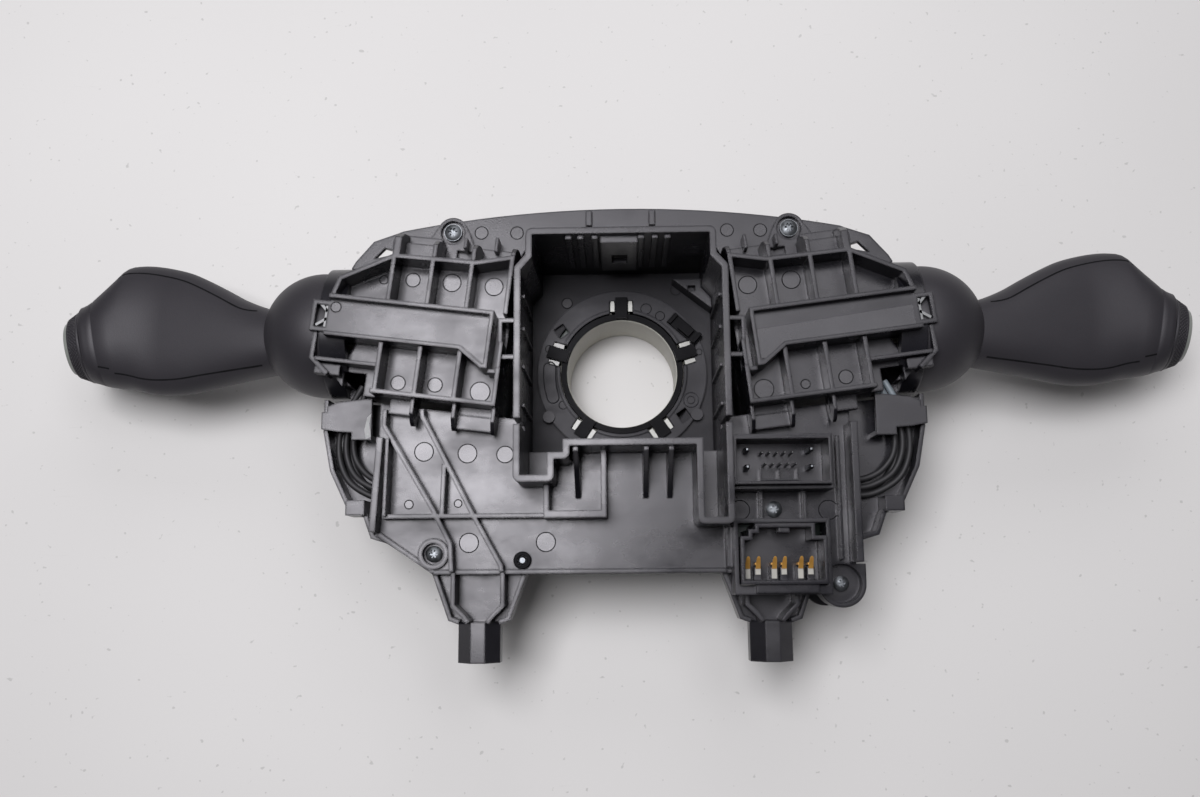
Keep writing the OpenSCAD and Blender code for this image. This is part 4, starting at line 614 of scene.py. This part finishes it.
def add_stalk(side, name):
    place = side_place(side)
    bm = bmesh.new()
    last = KNOB_AT - COLLAR_LEN
    rings = [stalk_ring(s) for s in STALK_STATIONS if s < last - 1]
    rings += [stalk_ring(last + d, shrink, 1.0) for d, shrink in COLLAR_GROOVE]
    rings += [stalk_ring(last + d, 0.0, 1.0) for d in (2.2, 3.8, COLLAR_LEN - 0.3)]
    rings += [stalk_ring(KNOB_AT, shrink, 1.0) for shrink in (0.25, 1.2)]
    add_rings(bm, [[place @ p for p in ring] for ring in rings])
    new_piece(name + "_stalk_skin", bm, name + "_lever", MATS["stalk_plastic"],
              replaces=(name + "_stalk_body", name + "_stalk_panel"))
    bm = bmesh.new()
    upper = [(s, curve_at(TOP_EDGE, s) - SEAM_INSET * smooth((s - 14) / 20)) for s in range(26, 85, 2)]
    upper.append((85.4, 26.8))
    lower = [(s, curve_at(BOTTOM_EDGE, s) + blend_of(2.6, SEAM_INSET, smooth((s - 20) / 40)))
             for s in range(23, 84, 2)]
    dash = [(84.6, -12.2), (88.8, -11.4)]
    for line, width in ((upper, 0.6), (lower, 0.55), (dash, 0.55)):
        add_seam(bm, place, line, width)
    new_piece(name + "_stalk_seams", bm, name + "_lever", SEAM_SHADE, slot="stalk_plastic")


def dome_arc(radius):
    """Quarter section of a sphere down to the skirt, from the tip outwards."""
    end = math.acos(-DOME_SKIRT / radius)
    return [(radius * math.sin(end * k / DOME_STEPS), radius * math.cos(end * k / DOME_STEPS))
            for k in range(1, DOME_STEPS + 1)]


def add_dome(side, name):
    bm = bmesh.new()
    inner_r = DOME_R - DOME_WALL
    profile = ([(DOME_TIP_R, DOME_R)] + dome_arc(DOME_R) + dome_arc(inner_r)[::-1]
               + [(DOME_TIP_R, inner_r)])
    add_lathe(bm, side_place(side), profile, DOME_SEGMENTS)
    new_piece(name + "_dome_skin", bm, name + "_lever", MATS["stalk_plastic"],
              replaces=(name + "_dome",))


KNURLS = 58
KNURL_ROWS = 3.0
KNURL_DEPTH = 0.3
KNURL_FROM = 1.35
KNURL_TO = 4.75
BAND_STEPS = 20
BAND_FOOT = (14.5, 1.1)
BAND_HEAD = (12.3, 5.0)
KNOB_BACK = [(6.1, 0), (14.6, 0), (KNOB_R, 0.2), (KNOB_R, 0.8)]
KNOB_FACE = [(12.15, 5.25), (11.9, 5.3), (11.6, 5.2), (11.5, 4.8), (11.5, 1.8), (7.7, 1.8), (7.7, 0.8),
             (6.1, 0.8), (6.1, 0)]


def knurl(r, h, a):
    """Diamond knurling on the knob's sloping band."""
    if not KNURL_FROM < h < KNURL_TO:
        return r
    row = KNURL_ROWS * (h - KNURL_FROM) / (KNURL_TO - KNURL_FROM)
    u = KNURLS * a / (2 * math.pi)
    wave = math.cos(math.pi * (u + row)) * math.cos(math.pi * (u - row))
    return r - KNURL_DEPTH * smooth(1.4 - 2.2 * abs(wave))


def add_knob(side, name):
    bm = bmesh.new()
    place = knob_place(side) @ Matrix.Translation((KNOB_GAP, 0, 0))
    band = [tuple(blend_of(foot, head, k / BAND_STEPS) for foot, head in zip(BAND_FOOT, BAND_HEAD))
            for k in range(BAND_STEPS + 1)]
    add_lathe(bm, place, KNOB_BACK + band + KNOB_FACE, KNURLS * 6, shape=knurl)
    new_piece(name + "_knob_skin", bm, name + "_knob", MATS["stalk_plastic"],
              replaces=(name + "_knob",))


# Faces of the fixed pieces, for details that lie on them

def fixed_faces():
    points, polys = [], []
    for name in frame["record"]["behaviour"]["bodies"]["root"]:
        mesh = nodes[name].data
        base = len(points)
        points += [v.co / MM for v in mesh.vertices]
        polys += [[base + i for i in poly.vertices] for poly in mesh.polygons]
    return BVHTree.FromPolygons(points, polys)


FIXED = fixed_faces()
SKY_Z = 120.0


def top_at(x, y):
    """Height of the highest fixed face over a point."""
    hit = FIXED.ray_cast(Vector((x, y, SKY_Z)), Vector((0, 0, -1)))
    return hit[0].z if hit[0] else -SKY_Z


# Round marks of the mould's ejector pins: place and radius
MARKS = ((-89.5, 30.7, 1.8), (-78.5, 30.5, 2.9), (-63.7, 29.2, 3.6), (-47.8, 27.4, 3.6),
         (-104.9, 18.0, 2.1), (-83.2, -9.0, 2.9), (-69.4, -9.9, 2.9), (-52.6, -12.7, 3.9),
         (-54.0, 51.7, 2.7), (-40.2, 51.5, 2.7), (54.0, 51.3, 2.7), (41.2, 51.5, 2.7),
         (47.4, 26.9, 3.6), (63.7, 28.7, 3.6), (52.2, -12.8, 3.8), (67.5, -11.1, 1.9),
         (82.4, -8.6, 2.8), (-73.9, -34.2, 3.7), (-57.7, -35.0, 3.7), (-43.7, -35.5, 3.3),
         (-79.1, -53.7, 1.8), (-60.9, -53.5, 1.6), (-56.7, -67.9, 3.7), (-28.5, -67.8, 3.7),
         (42.6, -56.8, 3.7), (74.8, -57.0, 3.7), (10.0, 26.2, 2.3), (15.6, 23.2, 2.0),
         (-22.0, 29.5, 2.3), (22.2, 34.4, 2.2), (30.9, 8.2, 1.4), (-29.2, 10.1, 1.6),
         (-23.6, -12.8, 1.8), (-18.1, -24.5, 1.9), (15.9, -25.6, 1.9))
MARK_SIDES = 32
MARK_RISE = 0.07
MARK_ROOT = 0.05
GROOVE_W = 0.34
GROOVE_LIFT = 0.02
LEVEL_WITHIN = 0.1


def add_marks():
    """A low disc for each mark that lies wholly on one level, and a dark ring of painted groove shade round
    it.
    """
    faces, grooves = bmesh.new(), bmesh.new()
    circle = [(math.cos(2 * math.pi * k / MARK_SIDES), math.sin(2 * math.pi * k / MARK_SIDES))
              for k in range(MARK_SIDES)]
    for x, y, r in MARKS:
        z = top_at(x, y)
        inner = r - GROOVE_W
        level = [abs(top_at(x + r * c, y + r * s) - z) < LEVEL_WITHIN for c, s in circle]
        if all(level):
            edge = [(x + inner * c, y + inner * s) for c, s in circle]
            add_prism(faces, edge, z - MARK_ROOT, z + MARK_RISE)
        for k in range(MARK_SIDES):
            after = (k + 1) % MARK_SIDES
            if level[k] and level[after]:
                (c, s), (c2, s2) = circle[k], circle[after]
                quad = ((x + r * c, y + r * s), (x + r * c2, y + r * s2),
                        (x + inner * c2, y + inner * s2), (x + inner * c, y + inner * s))
                grooves.faces.new([grooves.verts.new((*q, z + GROOVE_LIFT)) for q in quad])
    new_piece("ejector_marks", faces, "root", MARK_FACE, slot="housing_plastic")
    new_piece("ejector_mark_grooves", grooves, "root", SEAM_SHADE, slot="housing_plastic")


# Wires from each switch into the housing, on the right-hand side
WIRE_R = 1.18
WIRE_SIDES = 14
WIRE_STEPS = 7
GREY_ABOVE = -14.5
LOOM = (((96, -9, 50), (99, -15, 50), (102, -21, 49.4), (104.4, -28, 48.6), (104, -36, 48),
         (100.4, -43, 47.4), (93, -47.4, 47), (86, -48.6, 47), (79.6, -48.6, 47)),
        ((98.4, -8.6, 50.6), (101.6, -14.4, 50.6), (104.6, -20.4, 50), (107, -28, 49),
         (106.6, -37, 48.2), (102.6, -45, 47.6), (94, -50.2, 47), (86, -51.4, 47), (79.6, -51.4, 47)),
        ((93.6, -9.4, 50.4), (96.4, -15.4, 50.4), (99.4, -22, 50), (101.6, -29, 49),
         (100.8, -36, 48.2), (97, -41.4, 47.6), (92, -44.4, 47), (86, -45.6, 47), (79.6, -45.6, 47)),
        ((94.6, -9.4, 47.6), (97.6, -15.4, 47), (100.6, -22, 46.4), (103, -30, 45.8),
         (102.2, -38, 45.4), (98, -45, 45.2), (92, -48.6, 45), (86, -50, 45), (79.6, -50, 45)))
BLACK, GREY = 0, 1


def add_loom(side, name):
    """Four wires; those on the right have grey ends at the switch."""
    bm = bmesh.new()
    for path in LOOM:
        line = spline([(side * x, y, z) for x, y, z in path], WIRE_STEPS)
        cut = next(i for i, p in enumerate(line) if p.y < GREY_ABOVE) if side > 0 else 0
        if cut:
            add_tube(bm, line[:cut + 1], WIRE_R, WIRE_SIDES, GREY)
        add_tube(bm, line[cut:], WIRE_R, WIRE_SIDES, BLACK)
    new_piece(name + "_loom", bm, "root", MATS["wire_black"], MATS["wire_grey"],
              replaces=(name + "_wires",))


# Details of the switch blocks
BLOCK_TURN = 7.0
STRUT_LOW, STRUT_HIGH = 66.4, 67.4
STRUT_HALF_W = 0.5
STRUTS = (((109.3, 3.2), (112.6, 6.4)), ((109.3, 0.6), (113.0, -2.2)))
STRUT_FOOT = [(109.3, -2.6), (110.1, -2.6), (110.1, 5.4), (109.3, 5.4)]
RAIL_STEP = [(49.4, 1.6), (106.9, 3.2), (106.9, -4.9), (59.6, -4.9), (52.0, -9.4), (49.4, -9.4)]
RAIL_STEP_LOW, RAIL_STEP_HIGH = 67.9, 68.35


def block_place(side):
    """Frame of a switch block: first axis outwards along it, second axis across it."""
    return Matrix.Diagonal((side, 1, 1, 1)) @ Matrix.Rotation(math.radians(BLOCK_TURN), 4, "Z")


def add_end_struts():
    """Slanting struts of the clip in the window at each block's end."""
    bm = bmesh.new()
    for side in (1, -1):
        place = block_place(side)
        for a, b in STRUTS:
            a, b = Vector(a), Vector(b)
            run = (b - a).normalized() * STRUT_HALF_W
            off = Vector((-run.y, run.x))
            add_prism(bm, [a + off, b + off, b - off, a - off], STRUT_LOW, STRUT_HIGH, place)
        add_prism(bm, STRUT_FOOT, STRUT_LOW, STRUT_HIGH, place)
    new_piece("end_struts", bm, "root", STRUT_GREY, slot="steel", replaces=("end_clips",))


def add_rail_step():
    """Shallow step along the right-hand rail's floor."""
    bm = bmesh.new()
    add_prism(bm, RAIL_STEP, RAIL_STEP_LOW, RAIL_STEP_HIGH, block_place(1))
    new_piece("rail_step", bm, "root", MARK_FACE, slot="housing_plastic")


# Details of the sensor cover on the floor of the well
DECK_Z = 28.0
PILL_LINE = ((-28.9, 2.4), (-29.0, -1.6), (-28.6, -5.6), (-27.6, -9.6))
PILL_HALF_W = 2.4
PILL_RIM_R = 0.24
DIAL_AT = (27.3, -11.3)
DIAL_RINGS = ((3.0, 0.2), (1.5, 0.16))
RIM_SIDES = 8
HOOK_ANGLES = (90, 163, 17, 236, 304)
HOOK_CAP = [(22.5, -2.3), (30.8, -2.3), (30.8, 2.3), (22.5, 2.3)]
HOOK_CAP_LOW, HOOK_CAP_HIGH = 29.15, 29.45
SPRING_NEAR, SPRING_FAR = 2.75, 4.45
SPRING_LOW, SPRING_HIGH = 26.9, 27.7


def arc(at, radius, degrees):
    """Points round a centre, at whole degrees."""
    return [Vector((at[0] + radius * math.cos(math.radians(d)), at[1] + radius * math.sin(math.radians(d))))
            for d in degrees]


def add_bare_fields():
    """Rim of the long bare field, and the two rings of the round one."""
    rim = bmesh.new()
    left = [Vector((x - PILL_HALF_W, y)) for x, y in PILL_LINE]
    right = [Vector((x + PILL_HALF_W, y)) for x, y in PILL_LINE]
    top = arc(PILL_LINE[0], PILL_HALF_W, range(15, 180, 15))
    bottom = arc(PILL_LINE[-1], PILL_HALF_W, range(195, 360, 15))
    loop = top + left + bottom + right[::-1]
    add_tube(rim, [(p.x, p.y, DECK_Z + 0.1) for p in loop + loop[:2]], PILL_RIM_R, RIM_SIDES)
    for r, thick in DIAL_RINGS:
        ring = [(p.x, p.y, DECK_Z + 0.08) for p in arc(DIAL_AT, r, range(0, 372, 12))]
        add_tube(rim, ring, thick, RIM_SIDES)
    new_piece("cover_fields", rim, "root", MARK_FACE, slot="shell_plastic")


def add_hook_details():
    """Pale springs beside the five hooks, and the black cap of each hook."""
    springs, hooks = bmesh.new(), bmesh.new()
    for angle in HOOK_ANGLES:
        turn = Matrix.Rotation(math.radians(angle), 4, "Z")
        for s in (-1, 1):
            low, high = sorted((s * SPRING_NEAR, s * SPRING_FAR))
            outline = [(25.3, low), (28.2, low), (29.9, low + 0.2), (29.9, high - 0.2), (28.2, high),
                       (25.3, high)]
            add_prism(springs, outline, SPRING_LOW, SPRING_HIGH, turn)
        add_prism(hooks, HOOK_CAP, HOOK_CAP_LOW, HOOK_CAP_HIGH, turn)
    new_piece("hook_springs", springs, "root", SPRING_PALE, slot="steel")
    new_piece("hook_caps", hooks, "root", RING_BLACK, slot="housing_plastic")


# Details of the housing: stud collar, rubbed cable cover, catch of the top wall
STUD_AT = (-37.0, -74.4)
STUD_COLLAR = [(1.75, 54.6), (3.2, 54.6), (3.2, 55.3), (2.9, 55.6), (2.0, 55.6), (1.75, 55.3)]
COVER_RUB = [(-95.2, -21.2), (-93.7, -19.8), (-94.4, -23.6), (-93.7, -28.4), (-95.5, -29.4),
             (-96.2, -26.0)]
COVER_RUB_LOW, COVER_RUB_HIGH = 55.1, 55.24
CHEEK = ((5.7, 59.5), (5.7, 48.0), (3.3, 54.0), (3.0, 59.5))
CHEEK_BACK, CHEEK_FRONT = 41.55, 41.2
CATCH = ((-2.9, 61.5), (2.9, 61.5), (2.9, 52.0), (-2.9, 52.0))
CATCH_BACK, CATCH_FRONT = 41.6, 40.2
SILL_PAD = [(-5.2, -27.4), (4.4, -27.4), (4.4, -31.2), (-5.2, -31.2)]
SILL_AT = (0, -28.6)


def add_stud_collar():
    bm = bmesh.new()
    place = Matrix.Translation((*STUD_AT, 0)) @ Matrix.Rotation(math.radians(-90), 4, "Y")
    add_lathe(bm, place, STUD_COLLAR, 48)
    new_piece("stud_collar", bm, "root", RING_BLACK, slot="housing_plastic")


def add_cover_rub():
    """Pale rubbed edge of the left-hand cable cover."""
    bm = bmesh.new()
    add_prism(bm, COVER_RUB, COVER_RUB_LOW, COVER_RUB_HIGH)
    new_piece("cover_rubbed_edge", bm, "root", RUBBED, slot="shell_plastic")


def add_wall_catch():
    """Catch in the middle of the top wall, its two light cheeks, and the pad on the sill opposite."""
    cheeks = bmesh.new()
    for s in (-1, 1):
        add_rings(cheeks, [[Vector((s * x, y, z)) for x, z in CHEEK] for y in (CHEEK_BACK, CHEEK_FRONT)])
    new_piece("catch_cheeks", cheeks, "root", CHEEK_GREY, slot="housing_plastic")
    catch = bmesh.new()
    add_rings(catch, [[Vector((x, y, z)) for x, z in CATCH] for y in (CATCH_BACK, CATCH_FRONT)])
    sill = top_at(*SILL_AT)
    add_prism(catch, SILL_PAD, sill - 0.1, sill + 0.25)
    new_piece("wall_catch", catch, "root", RING_BLACK, slot="housing_plastic")


# Pins and terminals of the two connectors
CONNECTOR_X = 56.2
PIN_BASE = 40.6
HEADER_Y = -40.4
HEADER_TIP = 67.0
POWER_PIN_W = 1.5
SIGNAL_PIN_W = 0.7
SIGNAL_PITCH = 2.7
SIGNAL_PINS = 5
HEADER_KEYS = ((49.4, 50.0, -46.2, -42.4), (62.6, 63.2, -46.2, -42.4), (49.4, 63.2, -46.8, -46.2),
               (56.0, 56.5, -46.2, -43.0))
HEADER_KEYS_LOW, HEADER_KEYS_HIGH = 57.9, 61.6
BLADE_PLACES = (-12.1, -8.4, -2.6, 0.9, 6.8, 10.4)
BLADE_Y = -76.4
BLADE_KNEE = 59.4
# Blade beyond its knee: place across and along, half width and half thickness
BLADE_TIP = ((-78.1, 59.5, 0.85, 0.35), (-76.4, 60.6, 0.8, 0.35), (-75.0, 61.8, 0.7, 0.4),
             (-74.2, 62.6, 0.55, 0.35), (-73.8, 62.9, 0.25, 0.15))
SEAT_HALF_W = 0.95
SEAT_TOP_Y = -77.9
SEAT_ENDS = (-81.6, -80.2)
SEAT_LOW, SEAT_HIGH = 58.9, 59.5


def add_pin(bm, x, y, w):
    """Square pin with a tapered tip."""
    h = w / 2
    add_rings(bm, [[Vector((x + sx * k, y + sy * k, z)) for sx, sy in SQUARE]
                   for k, z in ((h, PIN_BASE), (h, HEADER_TIP - w * 0.6), (h * 0.45, HEADER_TIP))])


def add_header_pins():
    power, signal, keys = bmesh.new(), bmesh.new(), bmesh.new()
    for x in (-11.8, 11):
        for y in (4.4, -1.8):
            add_pin(power, CONNECTOR_X + x, HEADER_Y + y, POWER_PIN_W)
    for k in range(SIGNAL_PINS):
        for x, y in ((-6.6, 3.2), (-5.4, -0.8)):
            add_pin(signal, CONNECTOR_X + x + SIGNAL_PITCH * k, HEADER_Y + y, SIGNAL_PIN_W)
    new_piece("header_power_pins", power, "root", MATS["steel"], replaces=("upper_header_pins",))
    new_piece("header_signal_pins", signal, "root", PIN_DARK, slot="steel")
    for x0, x1, y0, y1 in HEADER_KEYS:
        add_box(keys, (x0, y0, HEADER_KEYS_LOW), (x1, y1, HEADER_KEYS_HIGH))
    new_piece("header_keys", keys, "root", MARK_FACE, slot="housing_plastic")


def add_plug_terminals():
    """Bent gold blades, each over a pale seat; every second seat is longer."""
    blades, seats = bmesh.new(), bmesh.new()
    for i, dx in enumerate(BLADE_PLACES):
        x = CONNECTOR_X + dx
        add_rings(blades, [[Vector((x + sx * 0.9, BLADE_Y + sy * 0.4, z)) for sx, sy in SQUARE]
                           for z in (PIN_BASE, BLADE_KNEE)])
        add_rings(blades, [[Vector((x + sx * w, y, z + sz * h)) for sx, sz in SQUARE]
                           for y, z, w, h in BLADE_TIP])
        low, high = SEAT_ENDS[i % 2], SEAT_TOP_Y
        seat = [(x - SEAT_HALF_W, low), (x + SEAT_HALF_W, low), (x + SEAT_HALF_W, high),
                (x - SEAT_HALF_W, high)]
        add_prism(seats, seat, SEAT_LOW, SEAT_HIGH)
    new_piece("plug_blades", blades, "root", MATS["terminal_metal"],
              replaces=("lower_connector_pins",))
    new_piece("plug_seats", seats, "root", SEAT_PALE, slot="housing_plastic")


add_camera()
add_floor()
add_light()
dress_nodes()
for mirror_sign, side_name in ((1, "right"), (-1, "left")):
    add_stalk(mirror_sign, side_name)
    add_dome(mirror_sign, side_name)
    add_knob(mirror_sign, side_name)
    add_loom(mirror_sign, side_name)
add_marks()
add_end_struts()
add_bare_fields()
add_hook_details()
add_stud_collar()
add_cover_rub()
add_wall_catch()
add_header_pins()
add_plug_terminals()
add_rail_step()
for node_name, look in (("hub_snap_ring", RING_BLACK), ("sensor_rivets", MARK_FACE),
                        ("sensor_latch", RING_BLACK)):
    nodes[node_name].data.materials[0] = look

bpy.context.scene.view_settings.view_transform = "Standard"
